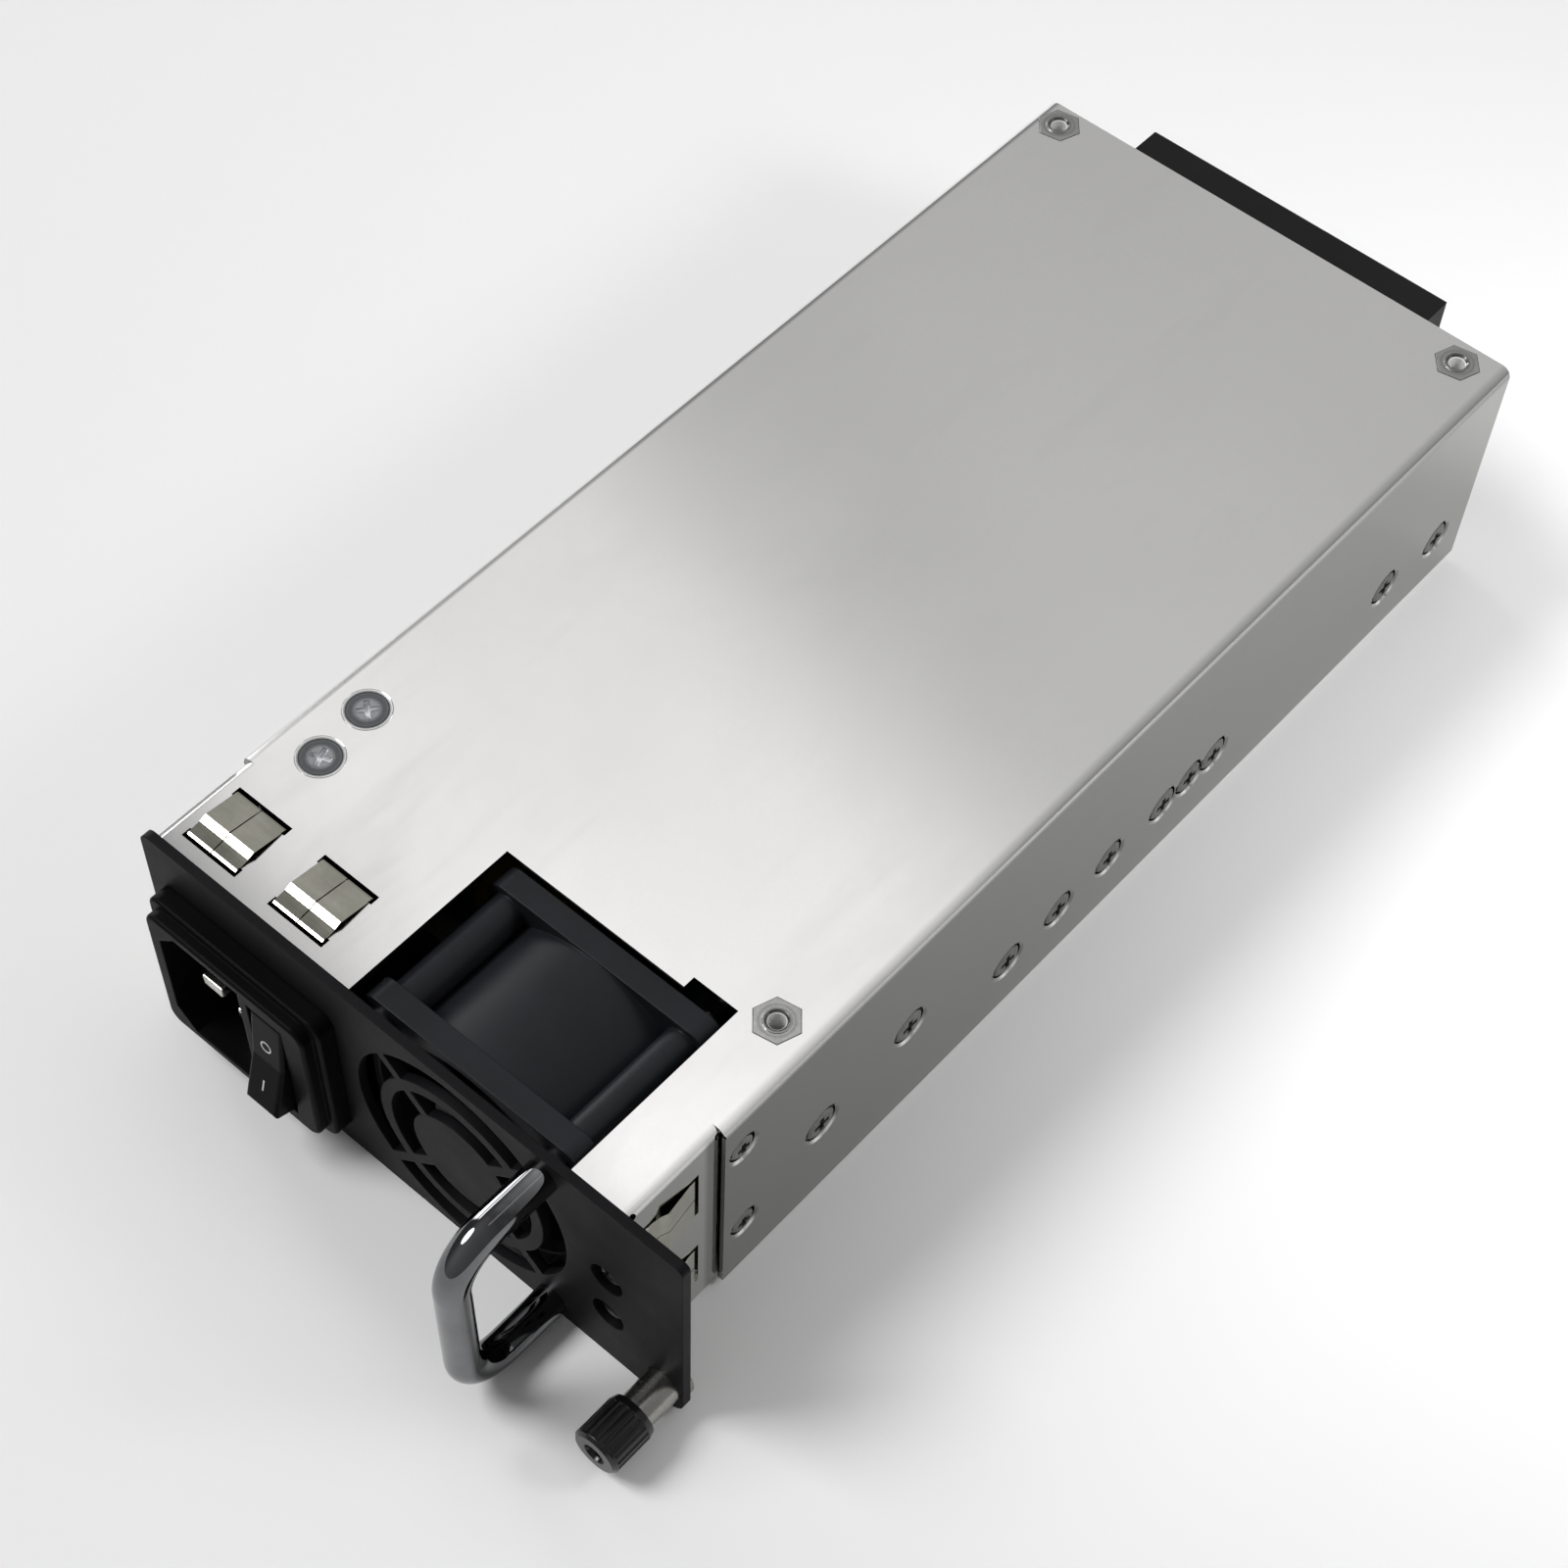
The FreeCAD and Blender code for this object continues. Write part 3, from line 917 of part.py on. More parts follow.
hl = [box("conn_slot_%d" % i, -23.5 + i * 4.8 - 0.5, -23.5 + i * 4.8 + 0.5, 90.8, 97.5, 23.0, 36.0) for i in range(6)]
hl += [cyl("conn_pinhole_%d%d" % (i, j), 0.4, 7.0, 9.5 + i * 3.5, 90.8, 24.0 + j * 3.7, "Y") for i in range(5) for j in range(4)]
node("rear_connector_housing", cut("rear_connector_housing", blk, cav + hl))
node("rear_contacts", fuse("rear_contacts", bl))

# ---------------------------------------------------------------- inside leads
def lead(name, runs, r, bend):
    o = doc.addObject("Part::Feature", name)
    shapes = [tube(pts, r, bend) for pts in runs]
    o.Shape = Part.makeCompound(shapes) if len(shapes) > 1 else shapes[0]
    o.Placement = Placement()
    return node(name, o)


lead("inlet_wires", [
    [(-29.55, -77.0, 26.3), (-29.55, -70.5, 26.3), (-27.2, -65.0, 20.0), (-24.6, -64.0, 13.0), (-24.6, -64.0, bt)],
    [(-29.55, -77.0, 12.3), (-29.55, -71.0, 12.3), (-31.8, -64.3, 14.0), (-31.8, -64.3, bt)],
    [(-33.55, -77.0, 19.3), (-33.55, -72.0, 19.3), (-36.4, -66.5, 17.0), (-38.6, -64.2, 12.0), (-38.6, -64.2, bt)],
], 1.0, 6.0)
lead("fan_lead", [[(31.5, -69.8, 32.2), (31.5, -66.6, 32.2), (33.4, -63.4, 26.0), (34.2, -61.4, 19.5), (34.2, -61.4, bt + 6.5)]], 1.3, 6.0)

# ---------------------------------------------------------------- checks and export
doc.recompute()
bad = []
for o in doc.Objects:
    st = [str(x) for x in o.State]
    if "Invalid" in st or "Error" in st:
        bad.append("%s: %s" % (o.Name, st))
for name, o in nodes.items():
    if o.Shape.isNull() or not o.Shape.isValid() or not o.Shape.Solids:
        bad.append("%s: shape" % name)
if bad:
    raise SystemExit("failed objects: " + "; ".join(bad))
os.makedirs("parts", exist_ok=True)
for name, o in sorted(nodes.items()):
    o.Shape.exportStep("parts/%s.step" % name)
total = 0.0
for name, o in sorted(nodes.items()):
    b = o.Shape.BoundBox
    print("%-24s solids %3d vol %10.2f  x %7.2f %7.2f  y %7.2f %7.2f  z %6.2f %6.2f" % (name, len(o.Shape.Solids), o.Shape.Volume, b.XMin, b.XMax, b.YMin, b.YMax, b.ZMin, b.ZMax))
print(len(nodes), "nodes")
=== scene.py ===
import bpy
import bmesh
import json
import math
from mathutils import Matrix, Vector


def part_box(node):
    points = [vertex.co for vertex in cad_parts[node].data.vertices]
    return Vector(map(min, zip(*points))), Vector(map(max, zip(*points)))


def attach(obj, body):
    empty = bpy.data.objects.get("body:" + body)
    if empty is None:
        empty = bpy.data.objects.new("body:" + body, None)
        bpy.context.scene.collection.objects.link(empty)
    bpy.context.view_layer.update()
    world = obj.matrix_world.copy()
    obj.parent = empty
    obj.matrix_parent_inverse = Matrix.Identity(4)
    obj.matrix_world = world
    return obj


# Looks of the server power supply. Metres, in the CAD part's own frame.

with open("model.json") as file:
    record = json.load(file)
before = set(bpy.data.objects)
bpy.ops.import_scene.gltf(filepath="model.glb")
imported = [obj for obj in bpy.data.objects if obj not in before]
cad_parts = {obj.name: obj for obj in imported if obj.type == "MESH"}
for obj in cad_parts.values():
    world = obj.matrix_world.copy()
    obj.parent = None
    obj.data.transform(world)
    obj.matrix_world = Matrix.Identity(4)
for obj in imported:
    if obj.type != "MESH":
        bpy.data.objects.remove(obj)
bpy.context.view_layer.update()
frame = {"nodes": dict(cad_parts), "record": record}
nodes = frame["nodes"]
scene = bpy.context.scene
MM = 0.001


# ------------------------------------------------------------------ material kit
class Kit:
    """One node material, built up socket by socket."""

    def __init__(self, name, base, metallic=0.0, rough=0.4, spec=0.5):
        self.m = bpy.data.materials.new(name)
        self.m.use_nodes = True
        self.t = self.m.node_tree
        self.b = self.t.nodes["Principled BSDF"]
        self.base = base
        self.b.inputs["Base Color"].default_value = (*base, 1.0)
        self.b.inputs["Metallic"].default_value = metallic
        self.b.inputs["Roughness"].default_value = rough
        self.b.inputs["Specular IOR Level"].default_value = spec
        self.rough = rough
        self.tc = self.t.nodes.new("ShaderNodeTexCoord")
        self.bump_in = None

    def new(self, kind):
        return self.t.nodes.new(kind)

    def link(self, a, b):
        self.t.links.new(a, b)

    def coords(self, scale=(1, 1, 1), rot=(0, 0, 0)):
        n = self.new("ShaderNodeMapping")
        n.inputs["Scale"].default_value = scale
        n.inputs["Rotation"].default_value = rot
        self.link(self.tc.outputs["Object"], n.inputs["Vector"])
        return n.outputs["Vector"]

    def noise(self, scale, detail=4.0, rough=0.55, stretch=(1, 1, 1), rot=(0, 0, 0), distortion=0.0):
        n = self.new("ShaderNodeTexNoise")
        n.inputs["Scale"].default_value = scale
        n.inputs["Detail"].default_value = detail
        n.inputs["Roughness"].default_value = rough
        n.inputs["Distortion"].default_value = distortion
        self.link(self.coords(stretch, rot), n.inputs["Vector"])
        return n.outputs["Fac"]

    def spread(self, src, a, b, lo=0.0, hi=1.0):
        n = self.new("ShaderNodeMapRange")
        n.inputs["From Min"].default_value = a
        n.inputs["From Max"].default_value = b
        n.inputs["To Min"].default_value = lo
        n.inputs["To Max"].default_value = hi
        self.link(src, n.inputs["Value"])
        return n.outputs["Result"]

    def math(self, op, a, b):
        n = self.new("ShaderNodeMath")
        n.operation = op
        for i, v in enumerate((a, b)):
            if isinstance(v, (int, float)):
                n.inputs[i].default_value = v
            else:
                self.link(v, n.inputs[i])
        return n.outputs["Value"]

    def mix(self, fac, a, b, blend="MIX"):
        n = self.new("ShaderNodeMix")
        n.data_type = "RGBA"
        n.blend_type = blend
        if isinstance(fac, (int, float)):
            n.inputs["Factor"].default_value = fac
        else:
            self.link(fac, n.inputs["Factor"])
        for key, v in (("A", a), ("B", b)):
            sock = [s for s in n.inputs if s.name == key and s.type == "RGBA"][0]
            if isinstance(v, tuple):
                sock.default_value = (*v, 1.0)
            else:
                self.link(v, sock)
        return [s for s in n.outputs if s.type == "RGBA"][0]

    def colour(self, src):
        self.link(src, self.b.inputs["Base Color"])

    def roughness(self, src):
        self.link(src, self.b.inputs["Roughness"])

    def finish(self, height=None, strength=0.1, dist=0.0001, bevel=0.0):
        """Rounds the edges a little and lays the height field over them."""
        normal = None
        if bevel > 0:
            n = self.new("ShaderNodeBevel")
            n.samples = 6
            n.inputs["Radius"].default_value = bevel
            normal = n.outputs["Normal"]
        if height is not None:
            n = self.new("ShaderNodeBump")
            n.inputs["Strength"].default_value = strength
            n.inputs["Distance"].default_value = dist
            self.link(height, n.inputs["Height"])
            if normal is not None:
                self.link(normal, n.inputs["Normal"])
            normal = n.outputs["Normal"]
        if normal is not None:
            self.link(normal, self.b.inputs["Normal"])
        return self.m


def sheet_steel(name, base, rough, side=1.0, grain=1.0, bevel=0.00025):
    """Zinc-plated sheet: smooth, with faint smudges, rolling lines along Y and fine scuffs; with side below 1,
    painted shade darkens the vertical faces.
    """
    k = Kit(name, base, 1.0, rough)
    speck = k.noise(3200, 2, 0.6)
    cloud = k.noise(34, 5, 0.62, (1.0, 0.7, 1.0), (0, 0, 0.4), 0.4)
    smear = k.noise(95, 4, 0.6, (1.0, 0.22, 1.0), (0, 0, 0.65), 0.3)
    lines = k.noise(1100, 3, 0.6, (1.0, 0.015, 1.0))
    c = k.mix(k.spread(speck, 0.3, 0.7), tuple(v * 0.975 for v in base), base)
    c = k.mix(k.spread(cloud, 0.42, 0.68, 0.0, 0.55), c, tuple(v * 0.95 for v in base))
    c = k.mix(k.spread(smear, 0.56, 0.70, 0.0, 0.45), c, tuple(v * 0.93 for v in base))
    # Painted shade: vertical faces have their colour multiplied by side; the front inset flange uses side x 1.95, so
    # it is painted lighter than the rest of the sides.
    if side < 1.0:
        g = k.new("ShaderNodeNewGeometry")
        s = k.new("ShaderNodeSeparateXYZ")
        k.link(g.outputs["Normal"], s.inputs["Vector"])
        up = k.spread(k.math("ABSOLUTE", s.outputs["Z"], 0.0), 0.25, 0.85)
        at = k.new("ShaderNodeSeparateXYZ")
        k.link(k.coords(), at.inputs["Vector"])
        front = k.spread(at.outputs["Y"], -0.0855, -0.0845, 1.0, 0.0)
        inset_side_shade = side * 1.95
        c = k.mix(up, k.mix(1.0, c, k.mix(front, (side, side * 1.015, side * 0.985), (inset_side_shade, inset_side_shade * 1.015, inset_side_shade * 0.985)), "MULTIPLY"), c)
        # Painted shade: the left front fold is painted dark (0.28 of the base) over its highlight, and made rougher.
        fold_shade_mask = k.math("MULTIPLY", front, k.math("MULTIPLY", k.spread(at.outputs["X"], -0.0433, -0.0430, 1.0, 0.0), k.spread(at.outputs["Z"], 0.0400, 0.0405)))
        c = k.mix(fold_shade_mask, c, tuple(v * 0.28 for v in base))
    k.colour(c)
    r = k.math("ADD", k.spread(cloud, 0.35, 0.7, rough - 0.02, rough + 0.03), k.spread(smear, 0.5, 0.72, 0.0, 0.03))
    if side < 1.0:
        r = k.math("ADD", r, k.math("MULTIPLY", fold_shade_mask, 0.45))
    k.roughness(r)
    h = k.math("ADD", k.math("MULTIPLY", speck, 0.25), k.math("MULTIPLY", lines, 0.35))
    return k.finish(h, 0.05 * grain, 0.00003, bevel)


def plated(name, base, rough, grain=0.05, bevel=0.0, scale=700.0, lines=(1, 1, 1), centres=(), highlight_shade_rings=(), below=0.0, reach=0.0, painted_glint=(0.8, 0.8, 0.8)):
    k = Kit(name, base, 1.0, rough)
    n1 = k.noise(scale, 3, 0.6, lines)
    n2 = k.noise(140, 4, 0.6)
    c = k.mix(k.spread(n2, 0.35, 0.7), tuple(c * 0.82 for c in base), tuple(min(1, c * 1.05) for c in base))
    if centres:
        # painted highlight and shade: rings of tone around each axis, and a lighter non-metallic surface below the
        # given height painted as a glint
        at = k.new("ShaderNodeSeparateXYZ")
        k.link(k.coords(), at.inputs["Vector"])
        near = None
        for x, y in centres:
            dx = k.math("SUBTRACT", at.outputs["X"], x)
            dy = k.math("SUBTRACT", at.outputs["Y"], y)
            d = k.math("SQRT", k.math("ADD", k.math("MULTIPLY", dx, dx), k.math("MULTIPLY", dy, dy)), 0.0)
            near = d if near is None else k.math("MINIMUM", near, d)
        for r0, r1, tone in highlight_shade_rings:
            m = k.math("MULTIPLY", k.spread(near, r0 - 0.00012, r0 + 0.00012), k.spread(near, r1 - 0.00012, r1 + 0.00012, 1.0, 0.0))
            c = k.mix(m, c, tone)
        low = k.math("MULTIPLY", k.spread(at.outputs["Z"], below - 0.0001, below, 1.0, 0.0), k.spread(near, reach, reach + 0.0001, 1.0, 0.0))
        c = k.mix(low, c, painted_glint)
        k.link(k.spread(low, 0.0, 1.0, 1.0, 0.05), k.b.inputs["Metallic"])
    k.colour(c)
    k.roughness(k.spread(n1, 0.3, 0.7, max(0.02, rough - 0.04), rough + 0.06))
    return k.finish(n1, grain, 0.00004, bevel)


def moulded(name, base, rough, spec=0.4, tex=0.18, scale=1900.0, bevel=0.0003, dust=0.0):
    """Moulded or painted surface: fine spark texture, slight patchiness, a trace of dust."""
    k = Kit(name, base, 0.0, rough, spec)
    n1 = k.noise(scale, 3, 0.6)
    n2 = k.noise(70, 5, 0.6)
    c = k.mix(k.spread(n2, 0.35, 0.7), tuple(v * 0.85 for v in base), tuple(v * 1.18 for v in base))
    if dust > 0:
        n3 = k.noise(5200, 2, 0.5)
        c = k.mix(k.spread(n3, 0.66, 0.78, 0.0, dust), c, (0.30, 0.30, 0.30))
    k.colour(c)
    k.roughness(k.spread(n2, 0.3, 0.7, rough - 0.05, rough + 0.06))
    return k.finish(n1, tex, 0.00008, bevel)


def board(name):
    k = Kit(name, (0.02, 0.12, 0.06), 0.0, 0.3)
    n = k.noise(260, 2, 0.5, (1, 0.2, 1))
    k.colour(k.mix(k.spread(n, 0.45, 0.55), (0.018, 0.10, 0.05), (0.03, 0.17, 0.08)))
    return k.finish(n, 0.1, 0.0001)


def wound(name, base, axis=2):
    k = Kit(name, base, 0.6, 0.32)
    w = k.new("ShaderNodeTexWave")
    w.inputs["Scale"].default_value = 260
    w.inputs["Distortion"].default_value = 1.5
    k.link(k.coords(), w.inputs["Vector"])
    k.colour(k.mix(w.outputs["Fac"], tuple(c * 0.35 for c in base), base))
    return k.finish(w.outputs["Fac"], 0.6, 0.0003)


def fins(name):
    k = Kit(name, (0.62, 0.63, 0.64), 1.0, 0.35)
    n = k.noise(500, 3, 0.6, (1, 0.03, 1))
    k.colour(k.mix(k.spread(n, 0.3, 0.7), (0.5, 0.51, 0.52), (0.72, 0.73, 0.74)))
    return k.finish(n, 0.1, 0.0001)


# where the top's fasteners stand
TOP_SCREWS = [(-0.03685, -0.0754), (-0.03795, -0.0652)]
NUTS = [(0.03883, -0.0651), (-0.04045, 0.0954), (0.03805, 0.0951)]

looks = {
    # side=0.30 (casing) and side=0.7 (chassis) paint shade onto the vertical faces of the sheet.
    "casing_steel": sheet_steel("casing_look", (0.86, 0.85, 0.845), 0.12, side=0.30, bevel=0.0),
    "chassis_steel": sheet_steel("chassis_look", (0.60, 0.60, 0.59), 0.30, side=0.7),
    "rear_steel": sheet_steel("rear_look", (0.70, 0.70, 0.69), 0.28),
    "bracket_steel": sheet_steel("bracket_look", (0.55, 0.55, 0.54), 0.35),
    "plate_paint": moulded("plate_look", (0.0075, 0.0070, 0.0082), 0.50, 0.09, 0.18, 1500, 0.00035, 0.02),
    "module_plastic": moulded("module_look", (0.0038, 0.0038, 0.0042), 0.42, 0.045, 0.16, 1700, 0.00035),
    "rocker_plastic": moulded("rocker_look", (0.0036, 0.0036, 0.0040), 0.28, 0.04, 0.06, 1500, 0.00035),
    "contact_plating": plated("contact_look", (0.74, 0.72, 0.68), 0.22, 0.05, 0.0003),
    "fan_plastic": moulded("fan_look", (0.0128, 0.0136, 0.0164), 0.38, 0.21, 0.10, 1300, 0.0003),
    "rotor_plastic": moulded("rotor_look", (0.011, 0.0115, 0.013), 0.34, 0.3, 0.08, 1200, 0.0002),
    "stator_copper": wound("stator_look", (0.55, 0.25, 0.11)),
    "handle_plating": plated("handle_look", (0.19, 0.193, 0.20), 0.045, 0.010, 0.0, 400),
    "pin_zinc": plated("pin_look", (0.05, 0.05, 0.052), 0.35),
    "screw_zinc": plated("zinc_look", (0.62, 0.62, 0.60), 0.28, 0.08, 0.0002),
    "sleeve_steel": plated("sleeve_look", (0.34, 0.335, 0.315), 0.26, 0.05, 0.0002, 900),
    "knob_black": moulded("knob_look", (0.006, 0.006, 0.0065), 0.24, 0.5, 0.05, 1500, 0.0002),
    "spring_wire": plated("spring_look", (0.6, 0.6, 0.58), 0.2),
    "lens_clear": moulded("lens_look", (0.003, 0.0035, 0.0035), 0.16, 0.10, 0.02, 800, 0.0),
    "finger_steel": plated("finger_look", (0.52, 0.51, 0.44), 0.15, 0.16, 0.0, 900, (0.12, 1, 1)),
    # Nuts: painted dark and light rings round the bore, and a lighter non-metallic bore wall as a painted glint.
    "nut_steel": plated("nut_look", (0.50, 0.50, 0.49), 0.24, 0.10, 0.0001, 1500, centres=NUTS, highlight_shade_rings=[(0.00125, 0.0019, (0.20, 0.20, 0.195)), (0.0023, 0.0027, (0.34, 0.34, 0.33))],
                        below=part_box("cover_nuts")[1][2] - 0.00025, reach=0.00145, painted_glint=(0.72, 0.72, 0.71)),
    # Top screws: painted highlight and shade rings on the head, and a lighter recess as a painted glint.
    "top_screw_steel": plated("top_screw_look", (0.25, 0.255, 0.26), 0.24, 0.12, 0.0002, 1500, centres=TOP_SCREWS,
                              highlight_shade_rings=[(0.0, 0.00175, (0.36, 0.37, 0.385)), (0.0021, 0.0029, (0.13, 0.135, 0.14)), (0.0031, 0.0038, (0.50, 0.50, 0.50))],
                              below=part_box("cover_screws")[1][2] - 0.00015, reach=0.0021, painted_glint=(0.80, 0.81, 0.83)),
    # Side screws: colour darkened as painted shade, to match the painted shade of the casing's side faces.
    "side_screw_steel": plated("side_screw_shade_look", (0.25, 0.253, 0.244), 0.55, 0.12, 0.0, 1500),
    "connector_plastic": moulded("connector_look", (0.0085, 0.0085, 0.0085), 0.48, 0.12, 0.18, 1500, 0.0003),
    "rear_contact_gold": plated("gold_look", (0.80, 0.60, 0.27), 0.25),
    "board_green": board("board_look"),
    "rear_board_green": board("rear_board_look"),
    "small_board_green": board("small_board_look"),
    "control_green": board("control_board_look"),
    "spacer_brass": plated("spacer_look", (0.72, 0.58, 0.30), 0.3),
    "board_screw_zinc": plated("board_screw_look", (0.6, 0.6, 0.58), 0.3),
    "insulator_film": moulded("film_look", (0.70, 0.68, 0.60), 0.4, 0.4, 0.05, 900, 0.0),
    "fuse_glass": moulded("fuse_look", (0.55, 0.56, 0.55), 0.12, 0.6, 0.03, 900, 0.0),
    "line_choke_winding": wound("line_choke_look", (0.62, 0.30, 0.11)),
    "boost_choke_winding": wound("boost_choke_look", (0.62, 0.30, 0.11)),
    "output_choke_winding": wound("output_choke_look", (0.66, 0.34, 0.13)),
    "film_cap_yellow": moulded("film_cap_look", (0.55, 0.38, 0.05), 0.35, 0.5, 0.05, 900, 0.0003),
    "rectifier_black": moulded("rectifier_look", (0.015, 0.015, 0.015), 0.4),
    "bulk_can": moulded("bulk_look", (0.012, 0.014, 0.03), 0.25, 0.5, 0.04, 900, 0.0003),
    "sink_primary": fins("sink_look"),
    "sink_secondary": fins("sink2_look"),
    "transistor_black": moulded("transistor_look", (0.018, 0.018, 0.018), 0.4),
    "output_rectifier_black": moulded("output_rectifier_look", (0.018, 0.018, 0.018), 0.4),
    "core_ferrite": moulded("ferrite_look", (0.05, 0.05, 0.055), 0.5, 0.4, 0.3, 900, 0.0003),
    "winding_tape": moulded("tape_look", (0.62, 0.48, 0.06), 0.35, 0.5, 0.1, 700, 0.0),
    "output_can": moulded("output_can_look", (0.02, 0.02, 0.025), 0.3, 0.5, 0.05, 900, 0.0003),
    "header_plastic": moulded("header_look", (0.72, 0.68, 0.58), 0.4),
    "inlet_lead": moulded("inlet_lead_look", (0.012, 0.012, 0.013), 0.4, 0.45, 0.05, 900, 0.0),
    "fan_lead_sleeve": moulded("fan_lead_look", (0.010, 0.010, 0.011), 0.35, 0.5, 0.05, 900, 0.0),
}
for row in frame["record"]["subparts"]:
    o = nodes[row["node"]]
    o.data.materials.clear()
    o.data.materials.append(looks[row["material_slot"]])


def smooth_by_angle(o, deg=35):
    """Round faces shade smooth; edges sharper than the angle stay sharp."""
    me = o.data
    me.shade_smooth()
    me.set_sharp_from_angle(angle=math.radians(deg))


for o in nodes.values():
    smooth_by_angle(o)


# ------------------------------------------------------------------ fine pieces
def piece(name, build, look, body, smooth=True):
    """A mesh built in code, in metres, riding on a CAD body."""
    bm = bmesh.new()
    build(bm)
    bmesh.ops.recalc_face_normals(bm, faces=bm.faces[:])
    me = bpy.data.meshes.new(name)
    bm.to_mesh(me)
    bm.free()
    o = bpy.data.objects.new(name, me)
    scene.collection.objects.link(o)
    me.materials.append(look)
    if smooth:
        smooth_by_angle(o, 40)
    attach(o, body)
    return o


def ring_solid(bm, M, r_out, r_in, h, n=40, squash=1.0):
    """A flat ring of height h standing on the plane of M (its z is up)."""
    rows = []
    for r, z in ((r_out, 0.0), (r_out, h), (r_in, h), (r_in, 0.0)):
        rows.append([bm.verts.new(M @ Vector((r * math.cos(2 * math.pi * i / n) * squash, r * math.sin(2 * math.pi * i / n), z))) for i in range(n)])
    for a in range(4):
        b = (a + 1) % 4
        for i in range(n):
            j = (i + 1) % n
            bm.faces.new((rows[a][i], rows[a][j], rows[b][j], rows[b][i]))


def slab(bm, M, w, l, h):
    vs = [bm.verts.new(M @ Vector((x * w / 2, y * l / 2, z))) for z in (0, h) for x, y in ((-1, -1), (1, -1), (1, 1), (-1, 1))]
    for f in ((0, 1, 2, 3), (4, 5, 6, 7), (0, 1, 5, 4), (1, 2, 6, 5), (2, 3, 7, 6), (3, 0, 4, 7)):
        bm.faces.new([vs[i] for i in f])


ink = moulded("mark_ink", (0.62, 0.63, 0.64), 0.5, 0.3, 0.05, 900, 0.0)

# The rocker's marks lie on its two faces, which slope 4.8 degrees either side of middle.
pivot = Vector((-18.3, -103.0, 19.3)) * MM
tilt = Matrix.Rotation(math.radians(-12.0), 4, "X")


def on_rocker(z_local, upper):
    """A frame on the rocker's face at that height; its z points out of the face."""
    a = Vector((0, -4.1, 0))
    b = Vector((0, -4.9, 9.5 if upper else -9.5))
    d = (b - a).normalized()
    f = z_local / b.z
    p = a.lerp(b, f)
    if not upper:
        d = -d
    n = Vector((1, 0, 0)).cross(d).normalized()
    if n.y > 0:
        n = -n
    x = d.cross(n).normalized()
    M = Matrix((x, d, n)).transposed().to_4x4()
    M.translation = p * MM
    return Matrix.Translation(pivot) @ tilt @ M


piece("mark_o", lambda bm: ring_solid(bm, on_rocker(3.4, True), 1.05 * MM, 0.80 * MM, 0.04 * MM), ink, "rocker")
piece("mark_i", lambda bm: slab(bm, on_rocker(-4.9, False), 0.26 * MM, 2.1 * MM, 0.04 * MM), ink, "rocker")

# Each screw in the top gets a thin bright ring laid on its head as a painted highlight of the turned rim, and a thin
# dark ring inside it as painted groove shade.
rim_highlight_steel = plated("rim_highlight_look", (0.80, 0.80, 0.79), 0.16, 0.04)
groove_shade_steel = plated("groove_shade_look", (0.10, 0.10, 0.105), 0.30, 0.04)
for tag, x, y in (("a", -36.85, -75.4), ("b", -37.95, -65.2)):
    at = Matrix.Translation(Vector((x, y, 42.975)) * MM)
    piece("screw_rim_highlight_" + tag, lambda bm: ring_solid(bm, at, 3.62 * MM, 3.40 * MM, 0.03 * MM, 64), rim_highlight_steel, "unit")
    piece("screw_groove_shade_" + tag, lambda bm: ring_solid(bm, at, 3.22 * MM, 2.98 * MM, 0.02 * MM, 64), groove_shade_steel, "unit")

# ------------------------------------------------------------------ floor, light, camera
bm = bmesh.new()
bmesh.ops.create_grid(bm, x_segments=1, y_segments=1, size=3.0)
me = bpy.data.meshes.new("floor")
bm.to_mesh(me)
bm.free()
floor = bpy.data.objects.new("floor", me)
scene.collection.objects.link(floor)
floor.location = (0, 0, -0.0002)
fm = Kit("floor_look", (0.86, 0.86, 0.86), 0.0, 0.7, 0.2)
fm.colour(fm.mix(fm.spread(fm.noise(3, 3), 0.3, 0.7), (0.91, 0.91, 0.91), (0.93, 0.93, 0.93)))
me.materials.append(fm.finish())

world = bpy.data.worlds.new("studio")
scene.world = world
world.use_nodes = True
wt = world.node_tree
bg = wt.nodes["Background"]
tc = wt.nodes.new("ShaderNodeTexCoord")
sep = wt.nodes.new("ShaderNodeSeparateXYZ")
wt.links.new(tc.outputs["Generated"], sep.inputs["Vector"])


def wramp(src, stops, kind="B_SPLINE"):
    n = wt.nodes.new("ShaderNodeValToRGB")
    n.color_ramp.interpolation = kind
    while len(n.color_ramp.elements) < len(stops):
        n.color_ramp.elements.new(0.5)
    for e, (p, v) in zip(n.color_ramp.elements, stops):
        e.position = p
        e.color = (v, v, v, 1)
    wt.links.new(src, n.inputs["Fac"])
    return n.outputs["Color"]


def wmap(src, a, b):
    n = wt.nodes.new("ShaderNodeMapRange")
    n.inputs["From Min"].default_value = a
    n.inputs["From Max"].default_value = b
    wt.links.new(src, n.inputs["Value"])
    return n.outputs["Result"]


def wop(blend, a, b):
    n = wt.nodes.new("ShaderNodeMix")
    n.data_type = "RGBA"
    n.blend_type = blend
    n.inputs["Factor"].default_value = 1.0
    wt.links.new(a, [q for q in n.inputs if q.name == "A" and q.type == "RGBA"][0])
    wt.links.new(b, [q for q in n.inputs if q.name == "B" and q.type == "RGBA"][0])
    return [q for q in n.outputs if q.type == "RGBA"][0]


dy, dx = wmap(sep.outputs["Y"], -1.0, 1.0), wmap(sep.outputs["X"], -1.0, 1.0)
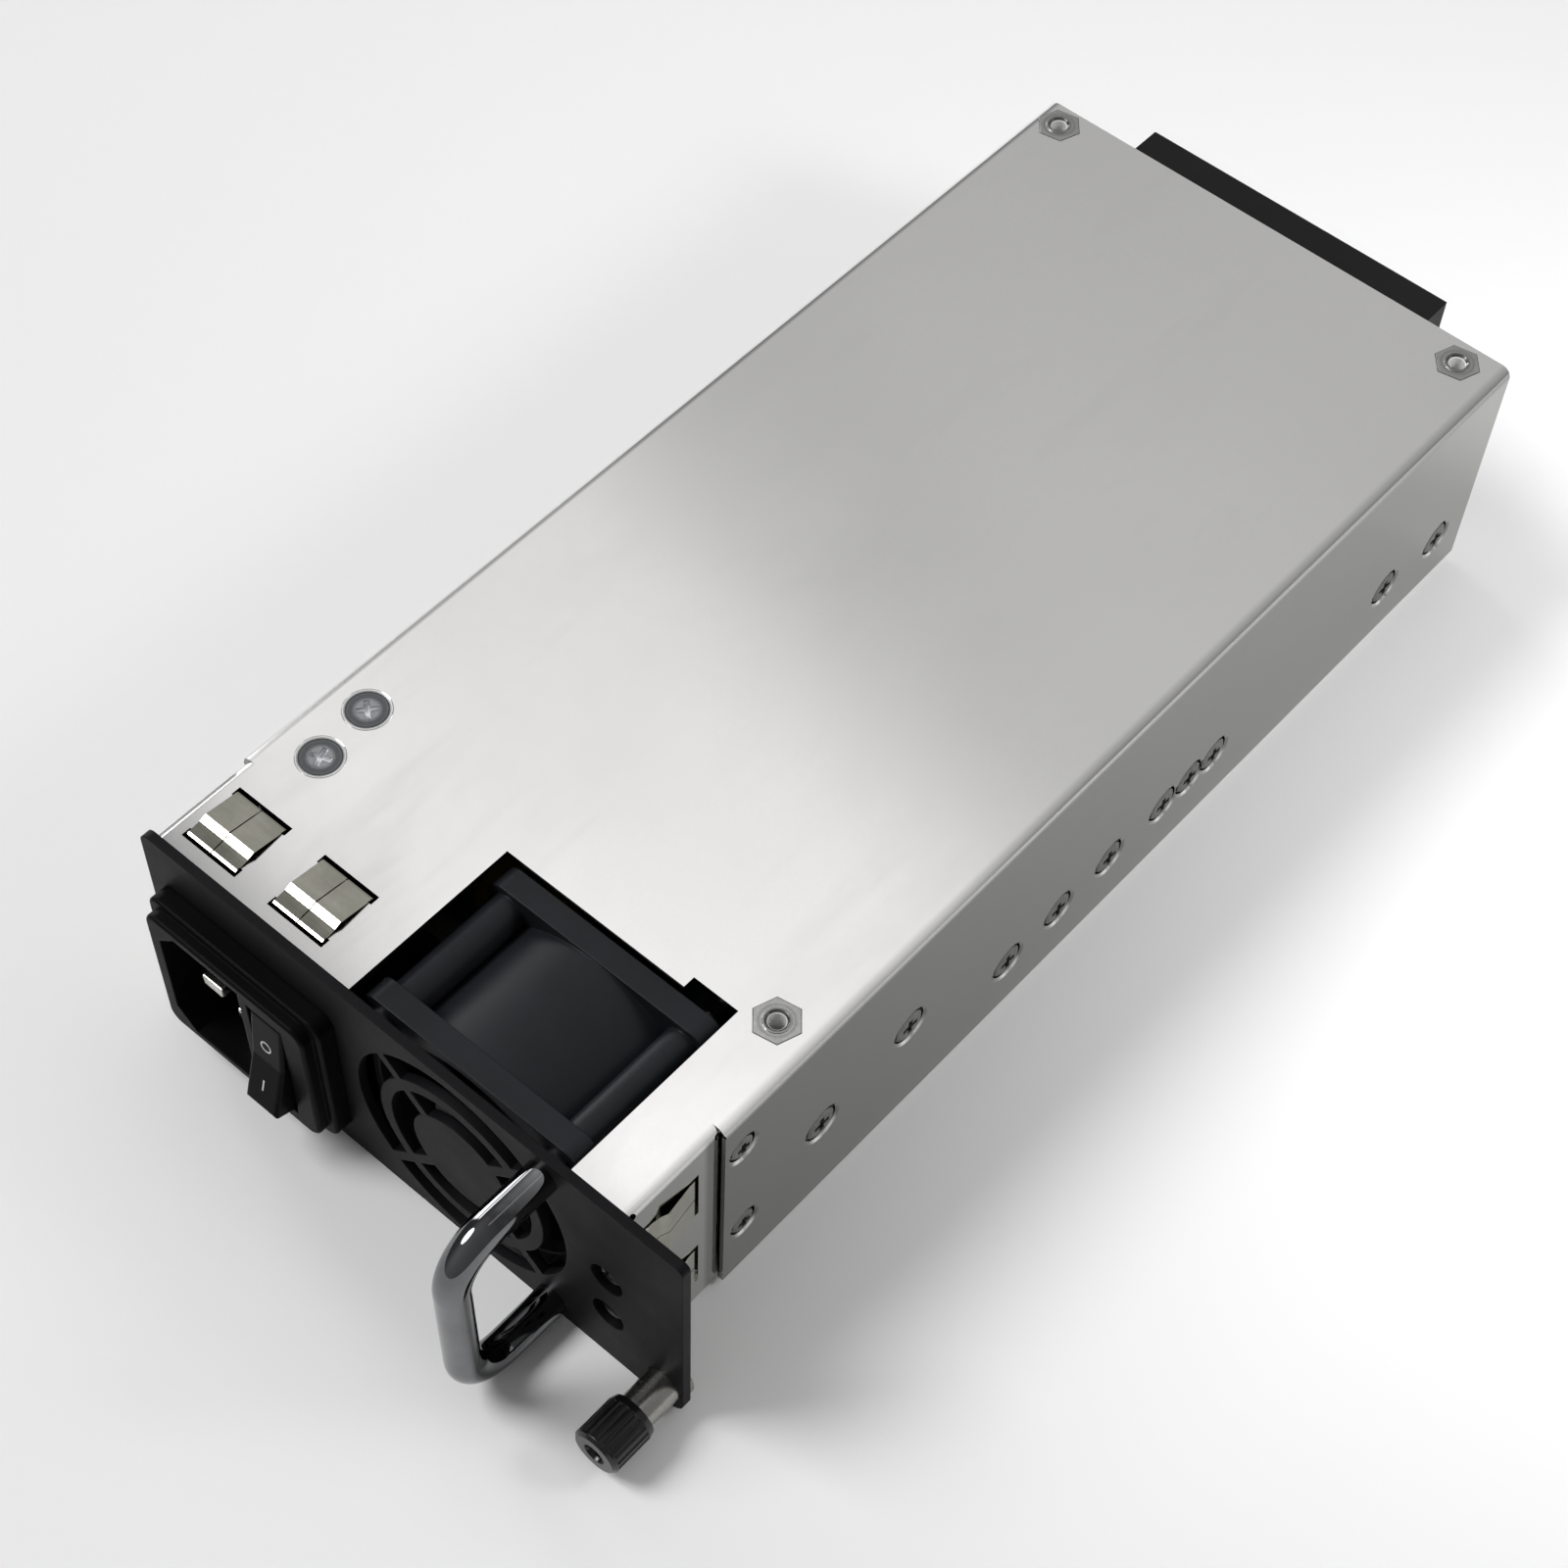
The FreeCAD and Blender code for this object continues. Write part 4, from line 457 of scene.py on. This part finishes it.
# A broad bright panel overhead whose rear edge is seen in the top, and a dimmer room behind it.
along = wramp(dy, [(0.0, 0.25), (0.5, 0.25), (0.60, 0.22), (0.6535, 0.16), (0.6600, 0.92), (0.68, 0.95), (0.6905, 0.86), (0.7025, 0.78), (0.733, 0.755), (0.7415, 0.645), (0.7505, 0.475), (0.759, 0.43), (0.768, 0.405), (0.78, 0.44), (0.795, 0.435), (0.82, 0.395), (0.90, 0.36)], "LINEAR")
across = wramp(dx, [(0.0, 0.35), (0.12, 0.40), (0.20, 0.72), (0.265, 0.90), (0.345, 1.06), (0.44, 1.0), (0.486, 0.95), (0.60, 0.85), (0.725, 0.75), (0.905, 0.65), (1.0, 0.6)], "LINEAR")
room = wop("MULTIPLY", along, across)
# Tall strip lights in front: a strong one far to the left and a faint one to the right.
strip_y = wramp(dy, [(0.56, 0.0), (0.59, 1.0), (0.6575, 1.0), (0.6645, 0.0)], "LINEAR")
strip_x = wramp(dx, [(0.0, 0.0), (0.02, 6.0), (0.06, 6.0), (0.072, 0.15), (0.085, 0.15), (0.095, 4.0), (0.13, 4.0), (0.145, 0.0), (0.60, 0.0), (0.62, 0.45), (0.66, 0.45), (0.68, 0.0)], "LINEAR")
strip = wop("MULTIPLY", strip_y, strip_x)
wt.links.new(wop("ADD", room, strip), bg.inputs["Color"])
bg.inputs["Strength"].default_value = 1.25


def sun(name, direction, power, angle):
    d = bpy.data.lights.new(name, "SUN")
    d.energy = power
    d.angle = math.radians(angle)
    o = bpy.data.objects.new(name, d)
    scene.collection.objects.link(o)
    o.rotation_euler = Vector(direction).to_track_quat("Z", "Y").to_euler()
    return o


def soft(name, at, aim, size, power, spread):
    d = bpy.data.lights.new(name, "AREA")
    d.shape = "DISK"
    d.size = size
    d.energy = power
    d.spread = math.radians(spread)
    o = bpy.data.objects.new(name, d)
    scene.collection.objects.link(o)
    o.location = at
    o.rotation_euler = (Vector(at) - Vector(aim)).to_track_quat("Z", "Y").to_euler()
    return o


sun("key", (-1.0, -0.62, 1.45), 1.85, 26)
fill = soft("side_fill", (0.24, 0.10, 0.24), (0.058, 0.068, 0.0), 0.10, 0.105, 80)
fill.visible_glossy = False

f_px, cx, cy = 2956.4034, 748.174, 1004.7791
rv = Vector((2.4268, 0.93, -0.2511))
R = Matrix.Rotation(rv.length, 3, rv.normalized())
t = Vector((-0.8824, -0.237, 4.3874)) * 90.5
C = -(R.transposed() @ t)
cam_data = bpy.data.cameras.new("camera")
cam = bpy.data.objects.new("camera", cam_data)
scene.collection.objects.link(cam)
M = (R.transposed() @ Matrix(((1, 0, 0), (0, -1, 0), (0, 0, -1)))).to_4x4()
M.translation = (C + Vector((-45.25, -99.5, 43.0))) * MM
cam.matrix_world = M
cam_data.sensor_width = 36.0
cam_data.lens = f_px * 36.0 / 1600.0
cam_data.shift_x = -(cx - 800.0) / 1600.0
cam_data.shift_y = (cy - 800.0) / 1600.0
cam_data.clip_start = 0.01
cam_data.clip_end = 20.0
scene.camera = cam
scene.view_settings.view_transform = "Standard"
scene.view_settings.look = "None"
